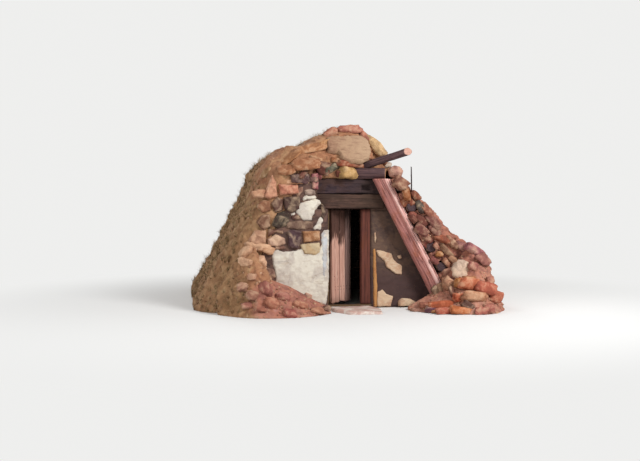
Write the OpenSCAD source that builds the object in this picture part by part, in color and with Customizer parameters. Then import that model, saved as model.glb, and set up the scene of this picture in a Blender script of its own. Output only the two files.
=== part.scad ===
// A small turf house: a timber and rubble front under a cover of earth and sods.
// The front faces -Y, +X is to the right of someone facing it, and Z is up from the ground.
// The origin is on the ground, in the plane of the door posts, in the middle of the sill.

/* [Doorway] */
// Clear width between the two door posts
door_w = 520; // [480:10:560]
// Height of the lintel's underside above the ground
door_h = 1600; // [1500:10:1650]
// Sideways shift of the doorway from the middle of the house
door_shift = -60; // [-90:5:-30]
// Width of the thin post on the hinge side
left_jamb_w = 60; // [50:5:90]
// Width of the stout post on the latch side
right_jamb_w = 160; // [120:5:200]
// Depth of both posts from front to back
jamb_d = 110; // [100:5:130]
// Height of the sill log
sill_h = 60; // [50:5:80]
// How far the sill stands out in front of the posts
sill_nose = 60; // [40:5:90]
// Depth of the threshold slab in front of the sill
threshold_d = 800; // [600:20:900]
// Height of the threshold slab
threshold_h = 50; // [30:5:50]

/* [Door] */
// Angle at which the door stands ajar
door_ajar = 38; // [20:1:50]
// Gap between the leaf and the posts, sill and lintel
door_gap = 10; // [8:1:14]
// Width across the squared hinge stile
stile_w = 60; // [50:2:64]
// Diameter of the wooden pintles
pintle_d = 40; // [30:1:44]
// Radial clearance of a pintle in its socket
pintle_fit = 0.5; // [0.3:0.1:1]
// Length of each pintle
pintle_l = 42; // [30:1:48]
// Number of boards in the leaf
board_count = 3; // [2:1:4]
// Thickness of a door board
board_t = 30; // [24:1:34]
// Gap between neighbouring boards
board_seam = 4; // [2:0.5:6]
// How much of the most worn board's lower edge is gone
board_wear = 34; // [0:2:40]
// Height of a ledge across the back of the boards
ledge_h = 110; // [80:5:140]
// Thickness of a ledge
ledge_t = 26; // [20:1:30]

/* [Timber frame] */
// Angle of the leaning timbers from the ground
lean = 62.5; // [61:0.5:64]
// Distance from the middle of the house to the foot of the leaning timber's middle line
foot_x = 1560; // [1500:10:1620]
// Width of the squared leaning timber, across its lean
timber_w = 230; // [200:5:250]
// Depth of the squared leaning timber, front to back
timber_d = 240; // [200:5:280]
// Height of each of the lintel logs
lintel_h = 240; // [220:5:260]
// Depth of each of the front lintel logs
lintel_d = 260; // [230:5:280]
// How far the front lintel logs stand out from the wall
lintel_nose = 100; // [80:5:120]
// How far each end of a lintel log stops short of the frame's slope at its top
lintel_short = 47; // [30:1:80]
// Width of the dark notch in the upper lintel log
notch_w = 130; // [90:5:160]
// Depth of the notch
notch_d = 70; // [40:5:100]
// Width of the long crack down the leaning timber's face
crack_w = 16; // [8:1:24]
// Diameter of a leg in the frames inside
leg_d = 180; // [150:5:200]
// Diameter of the cap log of a frame inside
cap_d = 200; // [180:5:220]
// How far each end of a cap log stops short of the frame's slope at its top
cap_short = 12; // [8:1:30]
// Depth of the flat that a cap log sits on
cap_flat = 20; // [15:1:30]
// Number of frames inside
frame_count = 2; // [1:1:3]
// Diameter of the long poles that carry the earth
pole_d = 170; // [150:5:180]
// Number of long poles on each side
pole_count = 6; // [5:1:6]
// Distance up the slope from the ground to the lowest long pole
first_pole = 292; // [280:4:320]
// Drop from the lintel's top to the middle of the highest long pole
top_pole_drop = 127; // [115:1:150]
// How far the long poles stand out of the front
pole_nose = 45; // [20:5:80]
// Number of poles along the top
top_pole_count = 3; // [2:1:4]
// Distance between the poles along the top
top_pole_pitch = 380; // [300:10:400]
// Gap between round pieces that lie on each other
seat = 0.3; // [0.2:0.1:0.5]

/* [Walls] */
// Thickness of the front wall behind the door posts' front
wall_t = 350; // [300:10:420]
// How far the rubble wall on the left stands forward of the door posts
rubble_nose = 240; // [180:10:300]
// Thickness of the stone facing over the ends of the poles on the left
rubble_facing = 180; // [120:10:220]
// Radius of the rubble wall's rounded corner beside the door
rubble_round = 110; // [60:5:150]
// Length of the room from front wall to back wall
room_l = 2650; // [2300:50:3000]
// Thickness of the back wall
back_wall_t = 350; // [300:10:420]

/* [Earth cover] */
// Height of the crown over the poles along the top
crown_rise = 700; // [600:10:750]
// Height of the crown's left edge over the poles along the top
left_edge_rise = 400; // [250:10:450]
// Height of the crown's right edge over the poles along the top
right_edge_rise = 90; // [70:10:200]
// How much higher the right edge is behind the front
right_edge_swell = 190; // [0:10:240]
// Thickness of the left cover beyond the poles, measured level
left_cover = 620; // [450:10:700]
// How far below the lintel's top the left shoulder starts to round over
shoulder_drop = 80; // [20:10:280]
// Thickness of the right cover at its top, measured level
right_cover_top = 80; // [60:5:200]
// How much thicker the right cover is at half its height
right_belly = 260; // [0:10:300]
// Thickness of the right cover at the ground, measured level
right_cover_foot = 600; // [400:10:700]
// Height below which the right cover flares out
flare_z = 1700; // [1500:20:1900]
// How far the heap beside the front bulges out of the right cover
heap_bulge = 420; // [200:20:450]
// Height of the heap beside the front
heap_h = 1250; // [1000:10:1300]
// How far back along the side the heap runs
heap_run = 1500; // [800:50:2000]
// How much thicker the right cover is behind its front edge
right_cover_back = 130; // [0:10:200]
// Length of the rounded end behind the back wall
end_l = 850; // [600:10:1100]
// How uneven the earth is, up and down from its even shape
unevenness = 44; // [0:2:50]
// Distance along the house from the middle of one sod to the next
sod_l = 210; // [150:5:240]
// How far the sods swell out of the cover, every second one out and the others in
sod_swell = 30; // [0:2:34]

/* [Banks] */
// How far the banks reach out from the front
bank_d = 820; // [500:20:1000]
// How far the right bank runs in front of the daub wall
right_bank_run = 820; // [600:20:1000]
// Height of the left bank at its highest
left_bank_h = 1050; // [800:10:1200]
// Height of the right bank at its highest
right_bank_h = 1040; // [800:10:1100]

/* [Things on the front] */
// Diameter of the long pole that lies over the lintel
long_pole_d = 132; // [110:2:150]
// Length of the long pole
long_pole_l = 1015; // [900:5:1050]
// Distance from the long pole's butt to where it crosses the short pole
long_pole_butt = 125; // [100:5:150]
// Rise of the long pole, as an angle from level
long_pole_rise = 15; // [12:1:20]
// Turn of the long pole towards the front
long_pole_turn = 38; // [34:1:45]
// Angle of the cut across the long pole's outer end
long_pole_cut = 35; // [20:1:45]
// Diameter of the short pole
short_pole_d = 176; // [150:2:190]
// Gap between the short pole's end and the rounded stone
short_pole_gap = 16; // [10:1:30]
// Turn of the short pole towards the front
short_pole_turn = 21; // [15:1:24]
// Distance from the short pole's butt to where the long pole crosses it
crossing = 230; // [180:10:300]
// Width of the pale slab in the crown's face
slab_w = 640; // [540:10:680]
// Height of the pale slab, along its slope
slab_l = 400; // [340:10:460]
// Thickness of the pale slab
slab_t = 90; // [70:5:110]
// Radius of the rounded stone by the timber's top
shoulder_r = 125; // [110:5:135]
// Diameter of the thin stake
stake_d = 28; // [20:2:40]
// Length of the thin stake
stake_l = 560; // [400:10:640]
// Backward lean of the thin stake
stake_lean = 2.8; // [1:0.1:2.9]

/* [Hidden] */
$fn = 48;

// Doorway
door_left = door_shift - door_w / 2;
door_right = door_shift + door_w / 2;
opening_left = door_left - left_jamb_w;
opening_right = door_right + right_jamb_w;
lintel_top = door_h + 2 * lintel_h;
threshold_inset = sill_h / 2;

// Door leaf, in its own frame with the hinge axis as origin and the leaf along +X
hinge_x = door_left + door_gap + stile_w * 0.66;
hinge_y = jamb_d / 2;
leaf_l = door_right - door_gap - hinge_x;
leaf_bottom = sill_h + door_gap;
leaf_top = door_h - door_gap;
board_w = (leaf_l - stile_w / 2 - board_seam * (board_count - 1)) / board_count;
ledge_inset = 190;
ledge_zs = [leaf_bottom + ledge_inset, leaf_top - ledge_inset - ledge_h];

// Side of the frame. A place on it is given by its distance up the slope and out from the middle line.
up_slope = [-cos(lean), sin(lean)];
outward = [sin(lean), cos(lean)];
function on_slope(along, out) = [foot_x, 0] + along * up_slope + out * outward;
function slope_x(z, out) = foot_x + out / sin(lean) - z / tan(lean);
function mirrored(points) = [for (p = points) [-p[0], p[1]]];
frame_out = timber_w / 2;
pole_out = frame_out + seat + pole_d / 2;
cover_out = frame_out + pole_d + 2 * seat;
highest_pole = (lintel_top - top_pole_drop - pole_out * cos(lean)) / sin(lean);
pole_pitch = (highest_pole - first_pole) / (pole_count - 1);
pole_alongs = [for (i = [0 : pole_count - 1]) first_pole + i * pole_pitch];
lintel_l = 2 * round(slope_x(lintel_top, frame_out) - lintel_short);
cap_l = 2 * round(slope_x(lintel_top, frame_out) - cap_short);
beyond = 3 * foot_x;

// Planes from front to back
timber_front = -lintel_nose - timber_d - seat;
rubble_front = -rubble_nose;
wall_back = wall_t;
back_wall_y = wall_back + room_l;
house_back = back_wall_y + back_wall_t;
pole_back = house_back - 2 * cap_short;
frame_ys = [for (i = [1 : frame_count]) wall_back + room_l * i / (frame_count + 1)];

// Earth cover: where it starts, and the places along the house at which its outline is drawn
crown_floor = lintel_top + pole_d + 2 * seat;
crown_half = slope_x(crown_floor, cover_out);
crown_start = lintel_d - lintel_nose + sill_h * 0.7;
stone_back = timber_front + 2 * shoulder_r + threshold_h / 4;
cover_steps = round((house_back - crown_start) / sod_l);
cover_ys = [for (i = [0 : cover_steps]) blend(crown_start, house_back, i / cover_steps)];
left_ys = concat([for (t = [0, 0.1, 0.3, 0.62]) blend(rubble_front, crown_start, t)], cover_ys);
right_ys = concat([timber_front, blend(timber_front, stone_back, 0.35), stone_back,
    blend(stone_back, crown_start, 0.5)], cover_ys);

function blend(from, to, share) = from + (to - from) * share;
function clamp01(t) = min(1, max(0, t));
function smooth(t) = let (c = clamp01(t)) c * c * (3 - 2 * c);
function share_y(y) = (y - timber_front) / (house_back - timber_front);
// A smooth unevenness that depends on a place's number around an outline and on how far back it lies
function uneven(i, y) = let (b = share_y(y)) unevenness * (sin(i * 97 + b * 613)
    + sin(b * 1187 - i * 141 + 40) + sin(i * 211 + b * 907 + 200)) / 3;
// The swell of the sods, laid in courses with staggered joints from a little way behind the front
function sods(i, y) = let (behind = y - crown_start, course = behind / (house_back - crown_start) * cover_steps)
    sod_swell * smooth(behind / sod_l / 2) * cos(180 * (i + course));

// Height of the cover along the two edges of the crown, and between them
function sag(y) = 1 - 0.1 * smooth((share_y(y) - 0.33) / 0.7);
function left_edge(y) = crown_floor
    + left_edge_rise * sag(y) * blend(0.2, 1, smooth((y - rubble_front) / (crown_start - rubble_front)));
function right_top(y) =
    blend(lintel_top - sill_h, crown_floor, smooth((y - stone_back) / (crown_start - stone_back)));
function right_edge(y) = right_top(y) + blend(sill_h / 2, right_edge_rise * sag(y), smooth(share_y(y) * 4))
    + right_edge_swell * smooth((y - stone_back) / (room_l / 2));
function crown_height(x, y) =
    let (edge = x < 0 ? left_edge(y) : right_edge(y), rise = crown_floor + crown_rise * sag(y) - edge)
    edge + rise * pow(cos(90 * min(1, abs(x) / crown_half)), x < 0 ? 1 : 0.6);

// Outlines across the house, from the ground up to the edge of the crown
right_parts = 14;
right_share = 0.91;
function heap(z, y) = heap_bulge * smooth((heap_h - z) / (heap_h * 0.3))
    * blend(0.17, 1, smooth(z / (heap_h * 0.65))) * smooth((timber_front + heap_run - y) / heap_run);
function right_cover(z, y) = heap(z, y) + blend(0.75, 1, smooth((y - timber_front) / (stone_back - timber_front)))
    * (right_cover_top + right_belly * smooth((lintel_top - z) / (lintel_top * 0.3))
        + right_cover_back * smooth(share_y(y) * 4)
        + (right_cover_foot - right_cover_top - right_belly) * pow(clamp01(1 - z / flare_z), 1.6));
function right_outline(y) = [for (i = [0 : right_parts])
    let (z = right_share * right_top(y) * i / right_parts,
        bump = i == 0 ? 0 : uneven(i / 2, y) + sods(i, y))
    [slope_x(z, cover_out) + right_cover(z, y) + bump, z + bump / 2]];
left_parts = 10;
left_share = 0.85;
left_arc = [5, 17, 28, 39, 50, 60, 70];
shoulder_z = lintel_top - shoulder_drop;
function left_reach(z, y) = slope_x(z, cover_out)
    + left_cover * blend(0.5, 1, pow(clamp01((y - rubble_front) / (crown_start - rubble_front)), 0.5));
function left_outline(y) = concat(
    [for (i = [0 : left_parts])
        let (z = left_share * shoulder_z * i / left_parts,
            bump = i == 0 ? 0 : uneven(i / 2 + 20, y) + sods(i, y))
        [-left_reach(z, y) - bump, z]],
    [for (i = [0 : len(left_arc) - 1])
        let (a = left_arc[i], bump = uneven(i / 2 + 30, y) + sods(i + 1, y),
            reach = left_reach(shoulder_z, y) - crown_half)
        [-crown_half - reach * cos(a) - bump, blend(shoulder_z, left_edge(y), sin(a)) + bump / 2]]);
crown_parts = 8;
function crown_outline(y) = [for (i = [0 : crown_parts])
    let (x = blend(-crown_half, crown_half, i / crown_parts))
    [x, crown_height(x, y) + (i % crown_parts == 0 ? 0 : uneven(i + 40, y) + sods(i, y))]];

// Rings for lofts, each a closed outline at one place along the house
function at_y(points, y) = [for (p = points) [p[0], y, p[1]]];
function reversed(points) = [for (i = [len(points) - 1 : -1 : 0]) points[i]];
function right_ring(y) = let (top = right_top(y), x = slope_x(top, cover_out)) at_y(concat(
    [[slope_x(0, cover_out), 0]], right_outline(y), [[x, right_edge(y)], [x, top]]), y);
function left_ring(y) = at_y(concat([[-slope_x(0, cover_out), 0]], left_outline(y),
    [[-crown_half, left_edge(y)], [-crown_half, crown_floor]]), y);
function crown_ring(y) = at_y(concat(
    [[crown_half, crown_floor], [-crown_half, crown_floor]], crown_outline(y)), y);

// A closed solid through rings that all have the same number of points
module loft(rings) {
    count = len(rings[0]);
    last = len(rings) - 1;
    sides = [for (j = [0 : last - 1], i = [0 : count - 1])
        let (a = j * count + i, b = j * count + (i + 1) % count)
        each [[a, a + count, b], [b, a + count, b + count]]];
    front_cap = [for (i = [0 : count - 1]) i];
    back_cap = [for (i = [count - 1 : -1 : 0]) last * count + i];
    polyhedron([for (ring = rings) each ring], concat([front_cap], [back_cap], sides));
}

// A prism of an outline across the house, between two places along it
module across(points, from, to) {
    translate([0, to, 0]) rotate([90, 0, 0]) linear_extrude(to - from) polygon(points);
}

// A log along Y
module log_y(x, z, d, from, to) {
    translate([x, from, z]) rotate([-90, 0, 0]) cylinder(d = d, h = to - from);
}

// A log along X, hewn to flat faces, with some of its round left at the corners
module hewn_log(length, depth, height) {
    corner = sqrt(depth * depth + height * height) * 0.92;
    intersection() {
        translate([-length / 2, -depth / 2, 0]) cube([length, depth, height]);
        translate([-length / 2, 0, height / 2]) rotate([0, 90, 0]) cylinder(d = corner, h = length);
    }
}

module threshold_slab() color("mistyrose") {
    left = opening_left + threshold_inset;
    right = opening_right - threshold_inset;
    outline = [[0, 0], [1, 0], [1.14, 0.5], [1.04, 1], [0.3, 0.95], [0, 0.5]];
    linear_extrude(threshold_h)
        polygon([for (p = outline) [blend(left, right, p[0]), -sill_nose - threshold_d * p[1]]]);
}

module door_sill() color("saddlebrown") {
    length = opening_right - opening_left;
    difference() {
        translate([opening_left, -sill_nose, 0]) cube([length, sill_nose + jamb_d, sill_h]);
        translate([hinge_x, hinge_y, leaf_bottom - pintle_l - pintle_fit])
            cylinder(r = pintle_d / 2 + pintle_fit, h = sill_h);
    }
}

module post(x, width) {
    translate([x, 0, sill_h]) cube([width, jamb_d, door_h - sill_h]);
}

module left_jamb() color("saddlebrown") post(opening_left, left_jamb_w);

module right_jamb() color("sienna") post(door_right, right_jamb_w);

module lower_lintel_log() color("sienna") {
    difference() {
        translate([0, lintel_d / 2 - lintel_nose, door_h]) hewn_log(lintel_l, lintel_d, lintel_h);
        translate([hinge_x, hinge_y, door_h - pintle_l])
            cylinder(r = pintle_d / 2 + pintle_fit, h = 2 * pintle_l - door_gap + pintle_fit);
    }
}

module upper_lintel_log() color("dimgray") {
    difference() {
        translate([0, lintel_d / 2 - lintel_nose, door_h + lintel_h]) hewn_log(lintel_l, lintel_d, lintel_h);
        translate([lintel_l * 0.23, -lintel_nose, door_h + lintel_h * 1.42]) rotate([0, 12, 0])
            cube([notch_w, 2 * notch_d, notch_w * 0.55], center = true);
    }
}

module inner_lintel(z) {
    from = lintel_d - lintel_nose;
    translate([0, (from + wall_back) / 2, z]) hewn_log(lintel_l, wall_back - from, lintel_h);
}

module inner_lower_lintel() color("sienna") inner_lintel(door_h);

module inner_upper_lintel() color("sienna") inner_lintel(door_h + lintel_h);

// Outline of a front wall beside the doorway, from the doorway's edge out to the slope of the frame
function side_wall(edge) = [
    [edge, 0], [slope_x(0, frame_out), 0], [slope_x(lintel_top, frame_out), lintel_top],
    [lintel_l / 2, lintel_top], [lintel_l / 2, door_h], [edge, door_h]];

module left_rubble_wall() color("ghostwhite") {
    corner = rubble_round;
    difference() {
        across(mirrored(side_wall(-opening_left)), rubble_front, wall_back);
        translate([opening_left - corner, rubble_front - corner, -corner]) difference() {
            cube([2 * corner, 2 * corner, door_h + corner]);
            translate([0, 2 * corner, 0]) cylinder(r = corner, h = door_h + corner);
        }
    }
}

module right_daub_wall() color("peru") across(side_wall(opening_right), 0, wall_back);

// The hewn timber leans back against the lintel. Its section is a ridge with a broad face to
// the left and a narrow one to the right, where a long crack runs down.
timber_shares = [[-1, -0.12], [0.26, -1], [0.57, -0.95], [1, -0.62], [1, 1], [-1, 1]];

module right_leaning_timber() color("rosybrown") {
    half = timber_w / 2;
    length = (lintel_top + 2 * timber_w) / sin(lean);
    difference() {
        translate([foot_x, timber_front + timber_d / 2, 0]) rotate([0, lean - 90, 0])
            translate([0, 0, -timber_w]) difference() {
                linear_extrude(length)
                    polygon([for (p = timber_shares) [p[0] * half, p[1] * timber_d / 2]]);
                translate([half * 0.66, -timber_d / 2, length * 0.25]) linear_extrude(length * 0.6)
                    polygon([[-crack_w / 2, -crack_w], [crack_w / 2, -crack_w], [0, 3 * crack_w]]);
            }
        translate([0, -beyond, -beyond]) cube([beyond, 2 * beyond, beyond]);
        translate([-beyond, -beyond, lintel_top]) cube([2 * beyond, 2 * beyond, beyond]);
    }
}

// Stones between the long poles of one side, from the ground to the top of the wall, with
// a channel for each pole
module verge(front, channel_front, side) {
    near = frame_out + seat;
    far = cover_out - seat;
    whole = [[slope_x(0, near), 0], [slope_x(0, far), 0],
        [slope_x(lintel_top, far), lintel_top], [slope_x(lintel_top, near), lintel_top]];
    half = pole_d / 2 + seat;
    difference() {
        across(side < 0 ? mirrored(whole) : whole, front, wall_back);
        for (along = pole_alongs) {
            channel = [on_slope(along - half, frame_out), on_slope(along - half, cover_out),
                on_slope(along + half, cover_out), on_slope(along + half, frame_out)];
            across(side < 0 ? mirrored(channel) : channel, channel_front, wall_back + half);
        }
    }
}

// On the left a facing of stones covers the ends of the poles
module left_verge_stones() color("tan") verge(rubble_front, rubble_front + rubble_facing, -1);

module right_verge_stones() color("indianred") verge(timber_front, timber_front - pole_nose, 1);

// The face of the crown slopes back from the lintel's nose to the full height behind.
// Each step gives how far back it is, how high it is, and how far to the right it reaches.
face_steps = [[0.02, 0.42, -0.05], [0.24, 0.66, 0.3], [0.54, 0.86, 0.75], [1, 1, 1]];
function face_ring(step) =
    let (y = blend(-lintel_nose, crown_start - seat, step[0]), left = -crown_half + seat,
        right = crown_half * step[2] - seat)
    at_y(concat([[right, lintel_top], [left, lintel_top]], [for (i = [0 : crown_parts])
        let (x = blend(left, right, i / crown_parts), full = crown_height(x, crown_start) - lintel_top)
        [x, lintel_top + full * step[1] + (i % crown_parts == 0 ? 0 : uneven(i + 40, y))]]), y);

module crown_face() color("sandybrown") {
    difference() {
        loft([for (step = face_steps) face_ring(step)]);
        lay_short_pole() translate([0, 0, -seat]) cylinder(d = short_pole_d + 2 * seat, h = short_pole_l);
        lay_long_pole() translate([0, 0, -seat]) cylinder(d = long_pole_d + 2 * seat, h = long_pole_l);
        lay_slab() translate([0, 0, -seat]) slab_outline(slab_l, seat);
    }
}

// Two legs of a frame inside the room, leaning together under the cap log
module frame_legs(y) {
    for (side = [-1, 1]) intersection() {
        translate([side * foot_x, y, 0]) rotate([0, side * (lean - 90), 0])
            translate([side * (frame_out - leg_d / 2), 0, -leg_d]) cylinder(d = leg_d, h = beyond);
        translate([-beyond, y - leg_d, 0]) cube([2 * beyond, 2 * leg_d, lintel_top - cap_d + cap_flat]);
    }
}

module frame_cap(y) {
    difference() {
        translate([-cap_l / 2, y, lintel_top - cap_d / 2]) rotate([0, 90, 0]) cylinder(d = cap_d, h = cap_l);
        translate([-cap_l, y - cap_d, lintel_top - 2 * cap_d + cap_flat]) cube([2 * cap_l, 2 * cap_d, cap_d]);
    }
}

module front_frame_legs() color("burlywood") frame_legs(frame_ys[0]);

module front_frame_cap() color("burlywood") frame_cap(frame_ys[0]);

module rear_frame_legs() color("burlywood") frame_legs(frame_ys[frame_count - 1]);

module rear_frame_cap() color("burlywood") frame_cap(frame_ys[frame_count - 1]);

module side_poles(front, side) {
    for (i = [0 : pole_count - 1]) {
        place = on_slope(pole_alongs[i], pole_out);
        from = side > 0 && i > 0 ? front - pole_nose : front + seat;
        log_y(side * place[0], place[1], pole_d, from, pole_back);
    }
}

module left_side_poles() color("rosybrown") side_poles(rubble_front + rubble_facing, -1);

module right_side_poles() color("rosybrown") side_poles(timber_front, 1);

module top_poles() color("rosybrown") {
    for (i = [0 : top_pole_count - 1])
        log_y((i - (top_pole_count - 1) / 2) * top_pole_pitch, lintel_top + seat + pole_d / 2,
            pole_d, crown_start, pole_back);
}

module back_wall() color("gray") {
    right_half = [[slope_x(0, frame_out), 0], [slope_x(lintel_top, frame_out), lintel_top]];
    left_half = mirrored([right_half[1], right_half[0]]);
    across(concat(right_half, left_half), back_wall_y, house_back);
}

module left_turf_slope() color("darkkhaki") loft([for (y = left_ys) left_ring(y)]);

module right_turf_slope() color("indianred") loft([for (y = right_ys) reversed(right_ring(y))]);

module turf_crown() color("sandybrown") loft([for (y = cover_ys) crown_ring(y)]);

// The rounded end: the house's outline drawn in and down until it meets the ground
end_parts = 8;
end_outline = concat(right_outline(house_back), reversed(crown_outline(house_back)),
    reversed(left_outline(house_back)));
function end_ring(k) =
    let (t = k / end_parts, in = blend(1, 0.6, pow(t, 2.2)), down = cos(87 * t))
    reversed([for (i = [0 : len(end_outline) - 1])
        let (p = end_outline[i], share = p[1] == 0 ? 0 : sin(180 * t) / 2,
            bump = share * (uneven(i / 2, house_back * (1 - t)) + sod_swell * cos(180 * (i + k))))
        [p[0] * in + sign(p[0]) * bump, house_back + end_l * sin(90 * t) + bump, p[1] * down]]);

module turf_back() color("darkkhaki") loft([for (k = [0 : end_parts]) end_ring(k)]);

// A bank in front of the house, drawn at places across it from one side to the other
bank_parts = 6;
function bank_ring(x, y, h, d, i) = [
    [x, y, 0], [x, y, h], [x, y - d * 0.25, h * 0.93 + uneven(i, y) / 2],
    [x, y - d * 0.6, h * 0.55 + uneven(i + 9, y) / 2], [x, y - d * 0.88, h * 0.16], [x, y - d, 0]];

module bank(from, to, y, heights, depths) {
    loft([for (i = [bank_parts : -1 : 0])
        bank_ring(blend(from, to, i / bank_parts), y - seat, heights[i], depths[i], i)]);
}

module left_bank() color("rosybrown") {
    hs = left_bank_h * [0.35, 0.8, 1, 0.48, 0.37, 0.21, 0.08];
    ds = bank_d * [0.3, 0.75, 0.95, 1, 0.95, 0.8, 0.5];
    bank(-left_reach(0, rubble_front) + sill_h, opening_left - sill_h / 3, rubble_front, hs, ds);
}

module right_bank() color("indianred") {
    hs = right_bank_h * [0.05, 0.18, 0.32, 0.67, 1, 0.87, 0.12];
    ds = bank_d * [0.3, 0.6, 0.82, 0.95, 1, 0.85, 0.45];
    outer = slope_x(0, cover_out) + right_cover(0, timber_front);
    bank(slope_x(0, frame_out) - right_bank_run, outer - sill_h / 2, timber_front, hs, ds);
}

// The rounded stone sits on the packing beside the timber's top
shoulder_at = [slope_x(lintel_top, frame_out) + shoulder_r * 0.86, timber_front + shoulder_r + seat,
    lintel_top + shoulder_r * 0.72];

// The short pole lies on the lintel and on the timber's top, up to the rounded stone. The long
// pole crosses over it, touching it at one place, and its butt is bedded in the crown's face.
short_butt = [-lintel_short, lintel_nose / 4, lintel_top + seat + short_pole_d / 2];
short_pole_l = (shoulder_at[0] - shoulder_r - short_butt[0] - short_pole_d / 2 * sin(short_pole_turn)
    - short_pole_gap) / cos(short_pole_turn);
short_way = [cos(short_pole_turn), -sin(short_pole_turn), 0];
long_way = [cos(long_pole_rise) * cos(long_pole_turn), -cos(long_pole_rise) * sin(long_pole_turn),
    sin(long_pole_rise)];
apart = cross(long_way, short_way) / norm(cross(long_way, short_way));
long_butt = short_butt + crossing * short_way + (short_pole_d / 2 + long_pole_d / 2 + seat) * apart
    - long_pole_butt * long_way;

module lay_short_pole() {
    translate(short_butt) rotate([0, 90, -short_pole_turn]) children();
}

module lay_long_pole() {
    translate(long_butt) rotate([0, 90 - long_pole_rise, -long_pole_turn]) children();
}

module short_pole() color("dimgray") lay_short_pole() cylinder(d = short_pole_d, h = short_pole_l);

// The long pole's outer end is cut on the slant
module long_pole() color("rosybrown") lay_long_pole() difference() {
    cylinder(d = long_pole_d, h = long_pole_l);
    translate([0, 0, long_pole_l - long_pole_d / 2 * tan(long_pole_cut)]) rotate([long_pole_cut, 0, 0])
        translate([-long_pole_d, -long_pole_d, 0]) cube([2 * long_pole_d, 2 * long_pole_d, long_pole_d]);
}

// The pale slab lies bedded in the crown's sloping face
module lay_slab() {
    translate([-lintel_short / 2, lintel_nose / 10, lintel_top + 2 * lintel_h]) rotate([58, 0, 0]) children();
}

module slab_outline(thickness, grow) {
    w = slab_w / 2 + grow;
    l = slab_l / 2 + grow;
    linear_extrude(thickness) polygon([
        [-w, -l * 0.1], [-w * 0.6, -l], [w * 0.55, -l * 0.92], [w, -l * 0.2],
        [w * 0.82, l * 0.8], [-w * 0.1, l], [-w * 0.85, l * 0.75]]);
}

module crown_slab() color("wheat") lay_slab() slab_outline(slab_t, 0);

module shoulder_stone() color("pink") {
    intersection() {
        translate(shoulder_at) sphere(r = shoulder_r);
        translate([0, -beyond, lintel_top + seat]) cube([beyond, 2 * beyond, beyond]);
    }
}

// The stake stands on the nose of a long pole and leans against the earth
module stake() color("dimgray") {
    below = on_slope(pole_alongs[pole_count - 2], pole_out);
    out = stake_d / 2 + pole_nose / 4;
    translate([below[0], timber_front - out, below[1] + pole_d / 2 + 2 * seat]) rotate([-stake_lean, 0, 0])
        cylinder(d = stake_d, h = stake_l);
}

// Everything on the leaf is drawn shut, with the hinge axis as origin, and then set ajar
module ajar() {
    translate([hinge_x, hinge_y, 0]) rotate([0, 0, door_ajar]) children();
}

module door_stile() color("rosybrown") ajar() {
    wane = 8;
    half = stile_w / 2;
    translate([0, 0, leaf_bottom]) linear_extrude(leaf_top - leaf_bottom) polygon([
        [-half, -half + wane], [-half + wane, -half], [half, -half], [half, half],
        [-half + wane, half], [-half, half - wane]]);
    for (z = [leaf_bottom - pintle_l, leaf_top]) translate([0, 0, z]) cylinder(d = pintle_d, h = pintle_l);
}

// A board of the leaf, its lower edge worn at its two sides by these shares of the wear
module door_board(i, near_share, far_share) {
    from = stile_w / 2 + i * (board_w + board_seam);
    worn_near = board_wear * near_share;
    worn_far = board_wear * far_share;
    across([[from, leaf_bottom + worn_near], [from + board_w * 0.6, leaf_bottom + (worn_near + worn_far) / 3],
        [from + board_w, leaf_bottom + worn_far], [from + board_w, leaf_top], [from, leaf_top]],
        -board_t / 2, board_t / 2);
}

module door_board_inner() color("rosybrown") ajar() door_board(0, 0.1, 0.35);

module door_board_middle() color("rosybrown") ajar() door_board(1, 1, 0.5);

module door_board_outer() color("rosybrown") ajar() {
    for (i = [2 : board_count - 1]) door_board(i, 0.2, 0.8);
}

module ledge(z) {
    slant = ledge_t / 2;
    from = stile_w / 2;
    to = leaf_l - 2 * door_gap;
    translate([0, 0, z]) linear_extrude(ledge_h) polygon([[from, board_t / 2], [to, board_t / 2],
        [to - slant, board_t / 2 + ledge_t], [from, board_t / 2 + ledge_t]]);
}

module door_lower_ledge() color("sienna") ajar() ledge(ledge_zs[0]);

module door_upper_ledge() color("sienna") ajar() ledge(ledge_zs[1]);

threshold_slab();
door_sill();
left_jamb();
right_jamb();
lower_lintel_log();
upper_lintel_log();
inner_lower_lintel();
inner_upper_lintel();
left_rubble_wall();
right_daub_wall();
right_leaning_timber();
left_verge_stones();
right_verge_stones();
crown_face();
front_frame_legs();
front_frame_cap();
rear_frame_legs();
rear_frame_cap();
left_side_poles();
right_side_poles();
top_poles();
back_wall();
left_turf_slope();
right_turf_slope();
turf_crown();
turf_back();
left_bank();
right_bank();
long_pole();
short_pole();
crown_slab();
shoulder_stone();
stake();
door_stile();
door_board_inner();
door_board_middle();
door_board_outer();
door_lower_ledge();
door_upper_ledge();
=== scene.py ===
# %% [markdown]
# A small turf house, dressed for looking at. The solids of the house come in as a fixed
# frame. This file gives them their earth, stones, plaster and weathered wood, and it reads
# nothing but that frame.

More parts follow.
